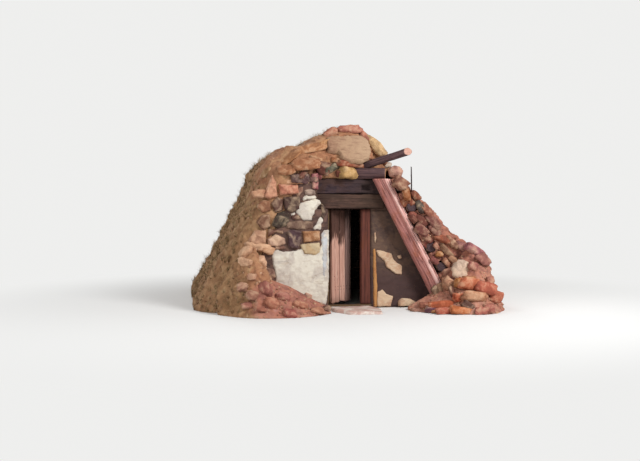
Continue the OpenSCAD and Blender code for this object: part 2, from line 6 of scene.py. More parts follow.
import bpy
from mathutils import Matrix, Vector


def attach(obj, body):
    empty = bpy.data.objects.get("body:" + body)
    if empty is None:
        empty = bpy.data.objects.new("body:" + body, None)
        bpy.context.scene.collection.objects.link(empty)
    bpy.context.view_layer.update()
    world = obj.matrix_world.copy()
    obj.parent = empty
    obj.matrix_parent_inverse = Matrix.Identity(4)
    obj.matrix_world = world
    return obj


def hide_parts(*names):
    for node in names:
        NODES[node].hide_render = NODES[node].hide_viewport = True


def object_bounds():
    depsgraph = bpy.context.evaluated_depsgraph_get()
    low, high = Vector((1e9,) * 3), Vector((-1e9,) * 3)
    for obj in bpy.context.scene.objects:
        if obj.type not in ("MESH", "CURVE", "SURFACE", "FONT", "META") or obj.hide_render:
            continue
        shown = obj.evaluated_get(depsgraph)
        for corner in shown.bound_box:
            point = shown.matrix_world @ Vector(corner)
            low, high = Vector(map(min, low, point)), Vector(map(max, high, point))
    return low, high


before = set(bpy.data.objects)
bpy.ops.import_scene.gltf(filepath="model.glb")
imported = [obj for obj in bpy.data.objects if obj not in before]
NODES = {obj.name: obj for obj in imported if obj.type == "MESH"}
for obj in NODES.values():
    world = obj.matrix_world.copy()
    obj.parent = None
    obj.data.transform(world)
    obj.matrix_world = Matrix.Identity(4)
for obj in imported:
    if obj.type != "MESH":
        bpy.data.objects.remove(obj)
box_before = [list(corner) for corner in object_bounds()]

import math
import random

import bmesh
import bpy
import numpy as np
from mathutils import Matrix, Vector, bvhtree, geometry, noise

LOW, HIGH = (Vector(corner) for corner in box_before)
print("box", [round(v, 3) for v in LOW], [round(v, 3) for v in HIGH])

# %% [markdown]
# The camera stands a little to the left of the front and looks slightly down, as in the
# picture. It could be aimed by eye, but working it out from a few measured numbers also
# gives the way back: `ray` turns a place in the picture into a line through the scene, so
# a stone seen there can be set on the wall that carries it.

# %% The camera
PICTURE = (640, 461)
FOCAL = 775
DISTANCE = 12.5
EYE = 1.55
SIDE = math.radians(12)
DOOR_FOOT = (349, 308)


def placed(name, data):
    """A new object in the scene."""
    made = bpy.data.objects.new(name, data)
    bpy.context.scene.collection.objects.link(made)
    return made


bearing = SIDE - math.atan((DOOR_FOOT[0] - PICTURE[0] / 2) / FOCAL)
pitch = math.atan((DOOR_FOOT[1] - PICTURE[1] / 2) / FOCAL) - math.atan(EYE / DISTANCE)
lens = bpy.data.cameras.new("camera")
lens.sensor_width = 36
lens.lens = FOCAL / PICTURE[0] * lens.sensor_width
camera = placed("camera", lens)
camera.location = (-DISTANCE * math.sin(SIDE), -DISTANCE * math.cos(SIDE), EYE)
camera.rotation_euler = (math.pi / 2 + pitch, 0, -bearing)
bpy.context.scene.camera = camera
bpy.context.view_layer.update()


def ray(px, py):
    """The direction from the camera through a place in the picture."""
    local = Vector((px - PICTURE[0] / 2, PICTURE[1] / 2 - py, -FOCAL))
    return (camera.matrix_world.to_3x3() @ local).normalized()


def spot(px, py, depth):
    """The place seen there on the upright plane y = depth."""
    way = ray(px, py)
    return camera.location + way * ((depth - camera.location.y) / way.y)


def seen_on(px, py, point, away):
    """The place seen there on the plane through a point, square to away."""
    way = ray(px, py)
    return camera.location + way * ((point - camera.location).dot(away) / way.dot(away))


print("camera", [round(v, 2) for v in camera.location], "lens", round(lens.lens, 1))

# %% [markdown]
# Soft studio light: a broad lamp from the upper right, as the light falls in the picture, a
# weak one from the left, one from behind, and an even pale world. Levels are low enough that
# white plaster stays below white.

# %% Light
LIT_PLACE = Vector((0, 1, 1))


def lamp(name, place, size, power):
    data = bpy.data.lights.new(name, "AREA")
    data.size = size
    data.energy = power
    made = placed(name, data)
    made.location = place
    made.rotation_euler = (LIT_PLACE - Vector(place)).to_track_quat("-Z", "Y").to_euler()
    print("lamp", name, power, "W")


lamp("key", (6.5, -8.5, 8.0), 4.0, 1500)
lamp("fill", (-8.0, -6.0, 5.0), 6.0, 260)
lamp("rear", (-3.0, 12.0, 9.0), 6.0, 500)
bpy.context.scene.view_settings.view_transform = "Standard"

# %% [markdown]
# Materials are sums of noises, and the sums read best as sums. `Wire` wraps a node's output
# and turns +, -, * and / into Math nodes. `Tree.node` makes any other node from its type,
# its settings and what goes into its sockets. The same two serve the geometry plans below.

# %% Wires and trees
OPERATIONS = {"add": "ADD", "sub": "SUBTRACT", "mul": "MULTIPLY", "truediv": "DIVIDE"}


class Wire:
    """What comes out of a node."""

    def __init__(self, tree, socket):
        self.tree = tree
        self.socket = socket


def _operator(operation, swapped):
    def act(self, other):
        first, second = (other, self) if swapped else (self, other)
        return self.tree.node("Math", {"operation": operation}, {0: first, 1: second})
    return act


for word, operation in OPERATIONS.items():
    setattr(Wire, f"__{word}__", _operator(operation, False))
    setattr(Wire, f"__r{word}__", _operator(operation, True))


def colour(code):
    """A hex code as linear light."""
    parts = [int(code[i:i + 2], 16) / 255 for i in (1, 3, 5)]
    return tuple(((c + 0.055) / 1.055) ** 2.4 if c > 0.04045 else c / 12.92 for c in parts) + (1.0,)


class Tree:
    """A node tree under construction."""

    families = ("ShaderNode",)

    def __init__(self, tree):
        self.tree = tree

    def feed(self, socket, value):
        if isinstance(value, Wire):
            self.tree.links.new(value.socket, socket)
        else:
            socket.default_value = value

    def new(self, kind):
        for family in self.families:
            try:
                return self.tree.nodes.new(family + kind)
            except RuntimeError:
                continue
        raise ValueError(kind)

    def node(self, kind, settings=None, inputs=None, output=0):
        made = self.new(kind)
        for key, value in (settings or {}).items():
            if key == "stops":
                while len(made.color_ramp.elements) < len(value):
                    made.color_ramp.elements.new(0.5)
                for element, (position, shade) in zip(made.color_ramp.elements, value):
                    element.position, element.color = position, shade
            else:
                setattr(made, key, value)
        for key, value in (inputs or {}).items():
            named = [s for s in made.inputs if s.identifier == key]
            self.feed(named[0] if named else made.inputs[key], value)
        if output is None:
            return made
        found = [s for s in made.outputs if s.identifier == output]
        return Wire(self, found[0] if found else made.outputs[output])

    def vector(self, operation, first, second=None, output=0):
        inputs = {0: first} if second is None else {0: first, 1: second}
        return self.node("VectorMath", {"operation": operation}, inputs, output)

    def stretch(self, vector, factors):
        return self.vector("MULTIPLY", vector, factors)

    def axis(self, name, of=None):
        """One number of a place or of another vector."""
        return self.node("SeparateXYZ", {}, {0: of or self.place}, name)


# %% [markdown]
# A finish is a tree for one material. Its methods are the few steps that the recipes below
# are made of: noise, streaks and cells for the pattern, `spread` to sharpen it, `mix` and
# `ramp` for the colours, and `done`, which hands colour and relief to the shader.

# %% Finishes
class Finish(Tree):
    """A material under construction."""

    def __init__(self, name, roughness):
        self.material = bpy.data.materials.new(name)
        self.material.use_nodes = True
        self.tree = self.material.node_tree
        self.shader = self.tree.nodes["Principled BSDF"]
        self.shader.inputs["Roughness"].default_value = roughness
        self.shader.inputs["Specular IOR Level"].default_value = 0.25
        self.place = self.node("TexCoord", output="Object")

    def noise(self, scale, detail, rough, warp=0.0, at=None):
        return self.node("TexNoise", {}, {"Vector": at or self.place, "Scale": scale, "Detail": detail,
                                          "Roughness": rough, "Distortion": warp})

    def streaks(self, factors, detail, rough, warp, at=None):
        """Noise drawn out along the axes whose factors are small."""
        return self.noise(1.0, detail, rough, warp, self.stretch(at or self.place, factors))

    def warped(self, scale, reach):
        """Places pushed about by noise, so that a pattern on them loses its straight lines."""
        push = self.node("TexNoise", {}, {"Vector": self.place, "Scale": scale}, "Color")
        return self.vector("ADD", self.place, self.stretch(push, (reach, reach, reach)))

    def cells(self, scale, feature="F1", at=None, output="Distance"):
        return self.node("TexVoronoi", {"feature": feature}, {"Vector": at or self.place, "Scale": scale},
                         output)

    def spread(self, wire, low, high):
        """Stretches the numbers from low to high over 0 to 1, softly and no further."""
        return self.node("MapRange", {"interpolation_type": "SMOOTHSTEP"},
                         {"Value": wire, "From Min": low, "From Max": high})

    def mix(self, share, first, second, blend="MIX"):
        first, second = (colour(c) if isinstance(c, str) else c for c in (first, second))
        return self.node("Mix", {"data_type": "RGBA", "blend_type": blend},
                         {"Factor_Float": share, "A_Color": first, "B_Color": second}, "Result_Color")

    def darken(self, base, code):
        """The base seen through a tint."""
        return self.mix(1.0, base, code, "MULTIPLY")

    def ramp(self, wire, *stops):
        return self.node("ValToRGB", {"stops": [(p, colour(c)) for p, c in stops]}, {"Fac": wire})

    def attribute(self, name, output="Fac"):
        return self.node("Attribute", {"attribute_name": name}, output=output)

    def done(self, base, height, relief, strength=0.8):
        self.feed(self.shader.inputs["Base Color"], base)
        bump = self.node("Bump", {}, {"Height": height, "Distance": relief, "Strength": strength})
        self.feed(self.shader.inputs["Normal"], bump)
        return self.material


# %% [markdown]
# The floor is a plain pale disc. Beyond the house it fades into the colour of the world,
# which only the camera and mirror-like rays see at full strength, so the background has no
# edge and adds no light to the house.

# %% The floor and the world
PALE = (0.86, 0.86, 0.85, 1)
FLOOR_RADIUS, FLOOR_Z, FLOOR_SIDES = 90, -0.001, 64


def backdrop():
    world = bpy.data.worlds.new("studio")
    bpy.context.scene.world = world
    world.use_nodes = True
    studio = Tree(world.node_tree)
    even = world.node_tree.nodes["Background"]
    even.inputs["Color"].default_value = (1, 1, 1, 1)
    even.inputs["Strength"].default_value = 0.5
    rays = studio.node("LightPath", output=None)
    seen = Wire(studio, rays.outputs["Is Camera Ray"])
    for name in ("Is Glossy Ray", "Is Transmission Ray"):
        seen = studio.node("Math", {"operation": "ADD", "use_clamp": True},
                           {0: seen, 1: Wire(studio, rays.outputs[name])})
    shown = studio.node("Background", {}, {"Color": PALE})
    both = studio.node("MixShader", {}, {0: seen, 1: Wire(studio, even.outputs[0]), 2: shown})
    studio.feed(world.node_tree.nodes["World Output"].inputs["Surface"], both)


def floor():
    finish = Finish("studio_floor", 0.95)
    finish.feed(finish.shader.inputs["Base Color"], (0.74, 0.74, 0.73, 1))
    apart = finish.vector("LENGTH", finish.vector("SUBTRACT", finish.place, (0, 1.4, 0)), output="Value")
    far = finish.spread(apart, 3.0, 7.5)
    glow = finish.node("Emission", {}, {"Color": PALE})
    both = finish.node("MixShader", {}, {0: far, 1: Wire(finish, finish.shader.outputs[0]), 2: glow})
    finish.feed(finish.tree.nodes["Material Output"].inputs["Surface"], both)
    mesh = bpy.data.meshes.new("studio_floor")
    rim = [(FLOOR_RADIUS * math.cos(a), FLOOR_RADIUS * math.sin(a), FLOOR_Z)
           for a in np.linspace(0, 2 * math.pi, FLOOR_SIDES + 1)[:-1]]
    mesh.from_pydata(rim, [], [list(range(FLOOR_SIDES))])
    mesh.materials.append(finish.material)
    placed("studio_floor", mesh)
    print("floor", 2 * FLOOR_RADIUS, "m across")


backdrop()
floor()

# %% [markdown]
# Earth. On the real house the cover is clay and sods: pink and ochre where it is bare,
# brown-green where old grass holds it. The vertices carry two painted numbers, `red` for the
# burnt earth on the right and `turf` for the grassed parts, and the finish mixes its colours
# by them, broken up by noise so that no border shows.

# %% Earth finishes
def earth_finish():
    finish = Finish("earth_cover", 0.95)
    broad = finish.noise(1.6, 5, 0.62, 0.4)
    middle = finish.noise(6.5, 6, 0.62, 0.8)
    fine = finish.noise(38, 5, 0.7)
    clods = finish.cells(11, at=finish.warped(9.0, 0.09))
    clay = finish.ramp(middle, (0.30, "#593C2D"), (0.42, "#825A44"), (0.52, "#9C7255"), (0.62, "#AB8663"),
                       (0.75, "#95684D"))
    warm = finish.ramp(broad, (0.3, "#985A3C"), (0.5, "#A47454"), (0.68, "#A98360"))
    clay = finish.mix(0.42, clay, warm)
    red = finish.ramp(middle, (0.28, "#4E322D"), (0.40, "#804E42"), (0.49, "#9E6656"), (0.57, "#AA6C50"),
                      (0.66, "#AB776B"), (0.8, "#C4A090"))
    dusty = finish.ramp(broad, (0.34, "#8A5850"), (0.5, "#A57564"), (0.64, "#B8907E"))
    red = finish.mix(0.45, red, dusty)
    turf = finish.ramp(middle, (0.26, "#5A3F2C"), (0.40, "#7E5A40"), (0.50, "#967052"), (0.60, "#A88362"),
                       (0.72, "#B69876"))
    green = finish.ramp(broad, (0.36, "#7A643C"), (0.52, "#987450"), (0.66, "#AC805E"))
    turf = finish.mix(0.3, turf, green)
    break_up = (middle - 0.5) * 0.9 + (fine - 0.5) * 0.4
    base = finish.mix(finish.spread(finish.attribute("red") + break_up, 0.38, 0.62), clay, red)
    base = finish.mix(finish.spread(finish.attribute("turf") + break_up, 0.34, 0.66), base, turf)
    dark = finish.spread(fine * 0.6 + clods * 0.9, 0.28, 0.62)
    base = finish.mix(0.55 - finish.attribute("turf") * 0.35, base, finish.mix(dark, "#5A4334", base))
    return finish.done(base, middle * 0.5 + fine * 0.35 - clods * 0.4, 0.03, 0.75)


EARTH = earth_finish()


def stone_finish():
    """Stone takes its colour from each stone's own tint, and weathers it."""
    finish = Finish("stone", 0.88)
    tint = finish.attribute("tint", "Color")
    broad = finish.noise(7, 5, 0.6, 0.6)
    fine = finish.noise(60, 6, 0.68)
    pits = finish.spread(finish.cells(48), 0.05, 0.35)
    base = finish.mix(finish.spread(broad, 0.42, 0.7) * 0.42, tint, "#E2C6A6")
    base = finish.mix(finish.spread(broad, 0.55, 0.3) * 0.5, base, "#5C4238")
    base = finish.mix(finish.spread(fine, 0.35, 0.62) * 0.3 + 0.12, base, finish.darken(base, "#B59B86"))
    return finish.done(base, broad * 0.6 + fine * 0.35 + pits * 0.15, 0.012)


STONE = stone_finish()
print("finishes", EARTH.name, STONE.name)

# %% [markdown]
# Wood. A board or log shows long streaks of grain, checks that run with it, and rings on a
# cut end. The pieces made here carry their own straightened coordinates in `grain`, with the
# log's length along Z, so one recipe serves every log whichever way it leans. Solids that
# come straight from the frame have no such coordinates, so for them the streaks run along
# one of the axes instead.

# %% Wood finishes
def wood_finish(name, dark, middle, light, stain, axis=None, cut=None, far=None, lit=None):
    """far is the colour that a log takes on towards the right, lit that of a painted highlight
    on its right edge and cut that of its cut ends. axis is the way the streaks run on a solid of the frame."""
    finish = Finish(name, 0.86)
    at = finish.attribute("grain", "Vector") if axis is None else finish.place
    along = "xyz".index(axis or "z")

    def drawn_out(length, across, *how):
        return finish.streaks([length if i == along else across for i in range(3)], *how, at=at)

    streak = drawn_out(1.7, 34, 6, 0.68, 0.35)
    fibre = drawn_out(7, 210, 4, 0.6, 0.0)
    checks = finish.spread(drawn_out(1.1, 46, 3, 0.6, 0.6), 0.40, 0.30)
    patches = finish.noise(3.4, 4, 0.6, 0.5, at=at)
    base = finish.ramp(streak * 0.75 + fibre * 0.25, (0.32, dark), (0.48, middle), (0.66, light))
    base = finish.mix(finish.spread(patches, 0.5, 0.66) * 0.75, base, stain)
    if far:
        right = finish.axis("X") + (patches - 0.5) * 0.7
        base = finish.mix(finish.spread(right, -0.15, 0.3) * 0.75, base, finish.mix(streak, dark, far))
    # Painted highlight: the side of the log towards its right edge turns paler, as if lit.
    if lit:
        edge = finish.axis("X", at) + (patches - 0.5) * 0.02
        pale = finish.mix(finish.spread(streak, 0.35, 0.6), light, lit)
        base = finish.mix(finish.spread(edge, 0.004, 0.026) * 0.92, base, pale)
    base = finish.mix(checks * 0.8, base, "#1F1714")
    height = streak * 0.45 + fibre * 0.3 - checks * 0.6
    if axis is None:
        rings = finish.node("TexWave", {"wave_type": "RINGS", "rings_direction": "Z"}, {
            "Vector": at, "Scale": 26, "Distortion": 2.2, "Detail": 3, "Detail Scale": 2.0}, "Fac")
        pale = colour(cut) if cut else finish.mix(0.5, light, middle)
        end = finish.attribute("end")
        base = finish.mix(end, base, finish.mix(rings * (0.3 if cut else 0.6), pale, dark))
        height = height + end * rings * 0.3
    return finish.done(base, height, 0.006, 0.9)


WOODS = {
    "dark_log": wood_finish("dark_log", "#1C1417", "#33262B", "#4E3B3C", "#442E26", far="#3B2A22"),
    "brown_log": wood_finish("brown_log", "#241913", "#43302A", "#64493D", "#3A2A22", far="#4A372B"),
    "rose_timber": wood_finish("rose_timber", "#875650", "#AA7069", "#C48C83", "#A26148", lit="#DFB9B0"),
    "purple_pole": wood_finish("purple_pole", "#2C1F21", "#4E393B", "#6B504E", "#46322C", cut="#C89C8B"),
    "red_wood": wood_finish("red_wood", "#361B16", "#532D25", "#6C3D31", "#5E3322"),
    "hewn_wood": wood_finish("hewn_wood", "#33261E", "#59442F", "#7A6045", "#4A3A2A"),
    # The dark cut ends of the pole wood are painted shade.
    "pole_wood": wood_finish("pole_wood", "#3A2D27", "#655046", "#86705F", "#53402F", cut="#4A383B"),
    "log_across": wood_finish("log_across", "#33241C", "#594036", "#77574A", "#4A342A", "x"),
    "post": wood_finish("post", "#33241C", "#54402F", "#6F563F", "#45352A", "z"),
}
print("woods", ", ".join(WOODS))

# %% [markdown]
# Meshes are put together from arrays of points and faces. `piece` turns such arrays into an
# object, writes what each vertex or face carries for its finish, and ties it to the body it
# moves with.

# %% From arrays to pieces
GREY = (0.5, 0.5, 0.5, 1)


class Shape:
    """Points and faces under construction, with what the finish reads from them."""

    def __init__(self):
        self.points, self.faces, self.tints, self.grains, self.ends = [], [], [], [], []

    def add(self, points, faces, tint=None, grain=None, end=None):
        start = len(self.points)
        self.points += [tuple(p) for p in points]
        self.faces += [[start + i for i in f] for f in faces]
        self.tints += [colour(tint) if tint else GREY] * len(points)
        self.grains += [tuple(g) for g in (points if grain is None else grain)]
        self.ends += [0.0] * len(faces) if end is None else list(end)


def piece(name, shape, material, body="house", replaces=()):
    mesh = bpy.data.meshes.new(name)
    mesh.from_pydata([(x, y, max(z, 0.0)) for x, y, z in shape.points], [], shape.faces)
    for key, kind, domain, field, values in (("tint", "FLOAT_COLOR", "POINT", "color", shape.tints),
                                             ("grain", "FLOAT_VECTOR", "POINT", "vector", shape.grains),
                                             ("end", "FLOAT", "FACE", "value", shape.ends)):
        layer = mesh.attributes.new(key, kind, domain)
        layer.data.foreach_set(field, np.array(values, np.float32).ravel())
    mesh.materials.append(material)
    mesh.polygons.foreach_set("use_smooth", [True] * len(mesh.polygons))
    return settle(placed(name, mesh), body, replaces)


def settle(made, body, replaces=()):
    if replaces:
        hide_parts(*replaces)
    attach(made, body)
    print(made.name, len(made.data.polygons), "faces")
    return made


# %% [markdown]
# A loose stone is a ball cut flat on many sides, like a field stone that has lost its corners,
# and then roughened a little. Squarer stones get their six main flats nearer to those of a
# block. Each is drawn from its own seed, so it keeps its shape when another one changes.

# %% Stones
def ball(level):
    """The points and faces of a unit ball."""
    mesh = bmesh.new()
    bmesh.ops.create_icosphere(mesh, subdivisions=level, radius=1)
    mesh.verts.ensure_lookup_table()
    points = np.array([v.co[:] for v in mesh.verts])
    faces = [[v.index for v in f.verts] for f in mesh.faces]
    mesh.free()
    return points, faces


BALL, FINE_BALL = ball(3), ball(4)
SIDES = ((1, 0, 0), (-1, 0, 0), (0, 1, 0), (0, -1, 0), (0, 0, 1), (0, 0, -1))
CHIPS = 7
SHARP = 16
ROUGH = 0.16


def rock(half, seed, square):
    """A stone of about those half sizes: a ball cut flat on many sides, then roughened."""
    chance = random.Random(seed)
    ways, faces = BALL
    normals, reach = [], []
    for side in SIDES:
        jitter = Vector([chance.uniform(-1, 1) * (1 - square) * 0.6 for _ in range(3)])
        normals.append((Vector(side) + jitter).normalized())
        reach.append(chance.uniform(0.86, 1.0))
    for _ in range(CHIPS):
        normals.append(Vector([chance.uniform(-1, 1) for _ in range(3)]).normalized())
        reach.append(chance.uniform(1.0, 1.22) if square > 0.5 else chance.uniform(0.84, 1.05))
    share = np.maximum(0, ways @ np.array(normals).T) / np.array(reach)
    radius = (share ** SHARP).sum(1) ** (-1 / SHARP)
    shift = Vector([chance.uniform(-50, 50) for _ in range(3)])
    bumps = np.array([noise.fractal(Vector(w) * 2.1 + shift, 0.7, 2.2, 4) for w in ways])
    return ways * (radius * (1 + ROUGH * bumps))[:, None] * np.array(half), faces


# %% [markdown]
# The earth itself. The five solids of the cover are joined and wrapped in one even skin by a
# voxel remesh, which also closes the joints between them. The skin is then smoothed and
# pushed in and out by noise of several sizes, mostly inwards, so that the house keeps its
# size. Sculpting by hand would look as good but could not be run again from a script.

# %% Skins of earth
LEAN = math.radians(62.5)
FOOT = 1.56
COVER = 0.2856
CROWN_FLOOR = 2.2506
BACK_OUTSIDE = (3.36, 3.42)
BOX_EDGE = 0.002


def remeshed(names, voxel):
    """An even skin round several solids, as a plain mesh."""
    whole = bmesh.new()
    for name in names:
        whole.from_mesh(NODES[name].data)
    bmesh.ops.remove_doubles(whole, verts=whole.verts, dist=0.0002)
    mesh = bpy.data.meshes.new("joined")
    whole.to_mesh(mesh)
    whole.free()
    source = placed("joined", mesh)
    skin = source.modifiers.new("skin", "REMESH")
    skin.mode, skin.voxel_size = "VOXEL", voxel
    even = source.modifiers.new("even", "SMOOTH")
    even.factor, even.iterations = 0.5, 6
    graph = bpy.context.evaluated_depsgraph_get()
    mesh = bpy.data.meshes.new_from_object(source.evaluated_get(graph))
    bpy.data.objects.remove(source)
    return mesh


def clods(p):
    """How far the earth stands out at a place: lumps and crumbs. Swells are in the solids."""
    lump = noise.fractal(p * 4.6 + Vector((7, 3, 1)), 0.7, 2.1, 4)
    cell = noise.voronoi(p * 7.5 + Vector((lump, lump, lump)) * 0.6)[0][0]
    crumb = noise.fractal(p * 19, 0.6, 2.0, 2)
    return -0.012 + 0.016 * lump + 0.024 * (0.5 - min(1.0, cell)) + 0.005 * crumb


def soft(low, high, value):
    """0 at low, 1 at high, with a soft step between. low may be the greater one."""
    share = min(1.0, max(0.0, (value - low) / (high - low)))
    return share * share * (3 - 2 * share)


def strokes(p):
    """Flat lumps in the earth near the front, like thrown clay."""
    return 0.022 * soft(0.9, 0.1, p.y) * noise.fractal(Vector((p.x * 6, p.y * 6, p.z * 15)), 0.8, 2.1, 3)


def free_side(p):
    """0 on the side towards the room, where the earth lies on its poles, and 1 outside."""
    out = (abs(p.x) - FOOT + p.z / math.tan(LEAN)) * math.sin(LEAN)
    return max(soft(COVER + 0.01, COVER + 0.06, out), soft(CROWN_FLOOR + 0.01, CROWN_FLOOR + 0.06, p.z),
               soft(*BACK_OUTSIDE, p.y))


# %% [markdown]
# Each skin is painted while it is made. `red` and `turf` say which earth it is, `grow` where
# grass can stand and `crumbs` where loose bits of stone lie. The finish reads the first two,
# the plans for grass and crumbs the others.

# %% Painted earth
def cover_paint(p):
    """The shares of red earth and of turf at a place on the cover."""
    behind = soft(0.1, 1.4, p.y + 0.5 * noise.fractal(p * 0.9, 0.7, 2.1, 3))
    left = soft(-0.75, -1.35, p.x)
    right = soft(0.55, 1.0, p.x)
    return right * (1 - 0.7 * behind), max(left * (0.3 + 0.4 * soft(2.5, 1.2, p.z)), behind * 0.75)


def left_bank_paint(p):
    return 0.8 * soft(0.7, 0.35, p.z) * soft(-2.0, -1.4, p.x), 0.8 * soft(-1.3, -1.95, p.x)


def earth_piece(name, names, voxel, paint, mask):
    """mask gives how freely the earth may move at a place, paint its shares of red and turf."""
    mesh = remeshed(names, voxel)
    reds, turfs, grows, crumbs, points = [], [], [], [], []
    for v in mesh.vertices:
        p = v.co.copy()
        share = mask(p)
        depth = clods(p) + strokes(p)
        moved = p + v.normal * depth * share * (0.25 + 0.75 * soft(0.0, 0.12, p.z))
        moved = Vector([min(max(c, a + BOX_EDGE), b - BOX_EDGE) for c, a, b in zip(moved, LOW, HIGH)])
        if p.z < voxel * 0.75:
            moved.z = 0.0
        points.append(moved)
        red, grass = paint(p)
        reds.append(red)
        turfs.append(grass)
        grows.append(soft(0.25, 0.8, grass) * share * soft(-0.35, 0.05, v.normal.z))
        crumbs.append((1 - 0.85 * grass) * share)
    mesh.vertices.foreach_set("co", np.array(points, np.float32).ravel())
    for key, values in (("red", reds), ("turf", turfs), ("grow", grows), ("crumbs", crumbs)):
        mesh.attributes.new(key, "FLOAT", "POINT").data.foreach_set("value", np.array(values, np.float32))
    mesh.materials.clear()
    mesh.materials.append(EARTH)
    mesh.polygons.foreach_set("use_smooth", [True] * len(mesh.polygons))
    mesh.update()
    settle(placed(name, mesh), "house", names)


earth_piece("earth_cover", ["left_turf_slope", "right_turf_slope", "turf_crown", "turf_back", "crown_face"],
            0.034, cover_paint, free_side)
earth_piece("left_bank_earth", ["left_bank"], 0.02, left_bank_paint,
            lambda p: soft(-0.25, -0.32, p.y))
earth_piece("right_bank_earth", ["right_bank"], 0.02, lambda p: (1.0, 0.0),
            lambda p: soft(-0.35, -0.42, p.y))
earth_piece("right_packing", ["right_verge_stones"], 0.016, lambda p: (0.9, 0.0),
            lambda p: 1.6 * soft(-0.30, -0.335, p.y))

# %% [markdown]
# Logs, boards and beams are one kind of shape: an outline carried along a length, pushed in
# and out a little, and closed at both ends. `beam` makes them all. A cylinder with a bump
# map would be quicker, but the real ones are hewn, twisted and split, and that shows in
# their outline.

# %% Outlines
def circle(radius, count):
    return np.array([(radius * math.cos(a), radius * math.sin(a))
                     for a in np.linspace(0, 2 * math.pi, count, endpoint=False)])


def loop(corners, spacing, soften):
    """A closed outline through corners given anticlockwise, with points at even steps."""
    corners = np.array(corners, float)
    points = []
    for a, b in zip(corners, np.roll(corners, -1, 0)):
        steps = max(1, round(np.linalg.norm(b - a) / spacing))
        points += [a + (b - a) * i / steps for i in range(steps)]
    points = np.array(points)
    for _ in range(soften):
        points = (np.roll(points, 1, 0) + 2 * points + np.roll(points, -1, 0)) / 4
    return points


def oblong(half_x, half_y, spacing, soften):
    return loop([(-half_x, -half_y), (half_x, -half_y), (half_x, half_y), (-half_x, half_y)], spacing, soften)


# %% [markdown]
# `beam` carries an outline along Z in even steps. Rings that shrink to the middle close its
# ends, and either end can be slanted. Every point keeps its straight place as `grain`, and
# the faces of the ends are marked, so the finish knows the length and the cut ends.

# %% Beams
END_RINGS = (0.82, 0.55, 0.28)


def square_cut(z):
    """The end of a beam that is cut off at one height."""
    return lambda x, y: z


def beam(shape, section, start, end, push, to_world, step, grain_shift=(0, 0, 0)):
    """A solid along Z. start and end give where its ends lie at x, y; push gives how far a
    place stands out; to_world turns local places into places on the house."""
    count = len(section)
    out = np.roll(section, -1, 0) - np.roll(section, 1, 0)
    out = np.stack([out[:, 1], -out[:, 0]], 1)
    out /= np.linalg.norm(out, axis=1)[:, None]
    rows = max(2, round((end(0, 0) - start(0, 0)) / step))
    local, faces = [], []
    for row in range(rows + 1):
        for (x, y), (nx, ny) in zip(section, out):
            low = start(x, y)
            z = low + row / rows * (end(x, y) - low)
            d = push(x, y, z)
            local.append((x + nx * d, y + ny * d, z))
    for row in range(rows):
        for i in range(count):
            a, b = row * count + i, row * count + (i + 1) % count
            faces.append((a, b, b + count, a + count))
    ends = [0.0] * len(faces)
    for cap, first, turned in ((start, 0, -1), (end, rows * count, 1)):
        ring = list(range(first, first + count))
        rim = [local[i] for i in ring]
        for share in END_RINGS:
            inner = []
            for x, y, z in rim:
                dish = 0.004 * noise.noise(Vector((x * share, y * share, z)) * 30)
                inner.append(len(local))
                local.append((x * share, y * share, cap(x * share, y * share) + dish))
            for i in range(count):
                j = (i + 1) % count
                faces.append((ring[i], ring[j], inner[j], inner[i])[::turned])
            ring = inner
        middle = len(local)
        local.append((0, 0, cap(0, 0)))
        faces += [(ring[i], ring[(i + 1) % count], middle)[::turned] for i in range(count)]
    ends += [1.0] * (len(faces) - len(ends))
    local = np.array(local)
    shape.add([to_world(Vector(p)) for p in local], faces, grain=local + np.array(grain_shift), end=ends)


def framed(origin, along, across):
    """Turns local places into places on the house: Z runs along, X runs across."""
    z = Vector(along).normalized()
    x = (Vector(across) - z * Vector(across).dot(z)).normalized()
    y = z.cross(x)
    origin = Vector(origin)
    return lambda p: origin + x * p[0] + y * p[1] + z * p[2]


def weathered(seed, flute, swell, knots=()):
    """How far old wood stands out: flutes along the grain, slow swells, and knots."""
    shift = Vector((seed * 3.7, seed * 1.3, seed * 2.1))

    def push(x, y, z):
        streak = noise.fractal(Vector((x * 24, y * 24, z * 1.6)) + shift, 0.8, 2.1, 3)
        slow = noise.noise(Vector((x * 3, y * 3, z * 2.4)) - shift)
        d = flute * streak + swell * slow
        for kz, kx, ky, size in knots:
            apart = (z - kz) ** 2 + (x - kx) ** 2 + (y - ky) ** 2
            d += size * 0.3 * math.exp(-apart / (size * size))
        return d
    return push


def dressed(node, wood, section, start, end, push, to_world, step, name=None):
    """One beam in place of a node's solid."""
    shape = Shape()
    beam(shape, section, start, end, push, to_world, step)
    piece(name or node + "_wood", shape, WOODS[wood], replaces=(node,))


# %% [markdown]
# The lintel is two hewn logs, the upper one dark and bluish, the lower one browner. A dark
# pocket is cut in the upper one near its right end. Both run along X, so their Z is the
# house's X.

# %% The lintel logs
LINTEL_HALF = 0.56
LINTEL_TOP = 2.08
LOG_FRONT, LOG_BACK = -0.127, 0.129
POCKET = (0.2576, 1.941)
POCKET_HALF = (0.062, 0.034)
POCKET_DEPTH = 0.065


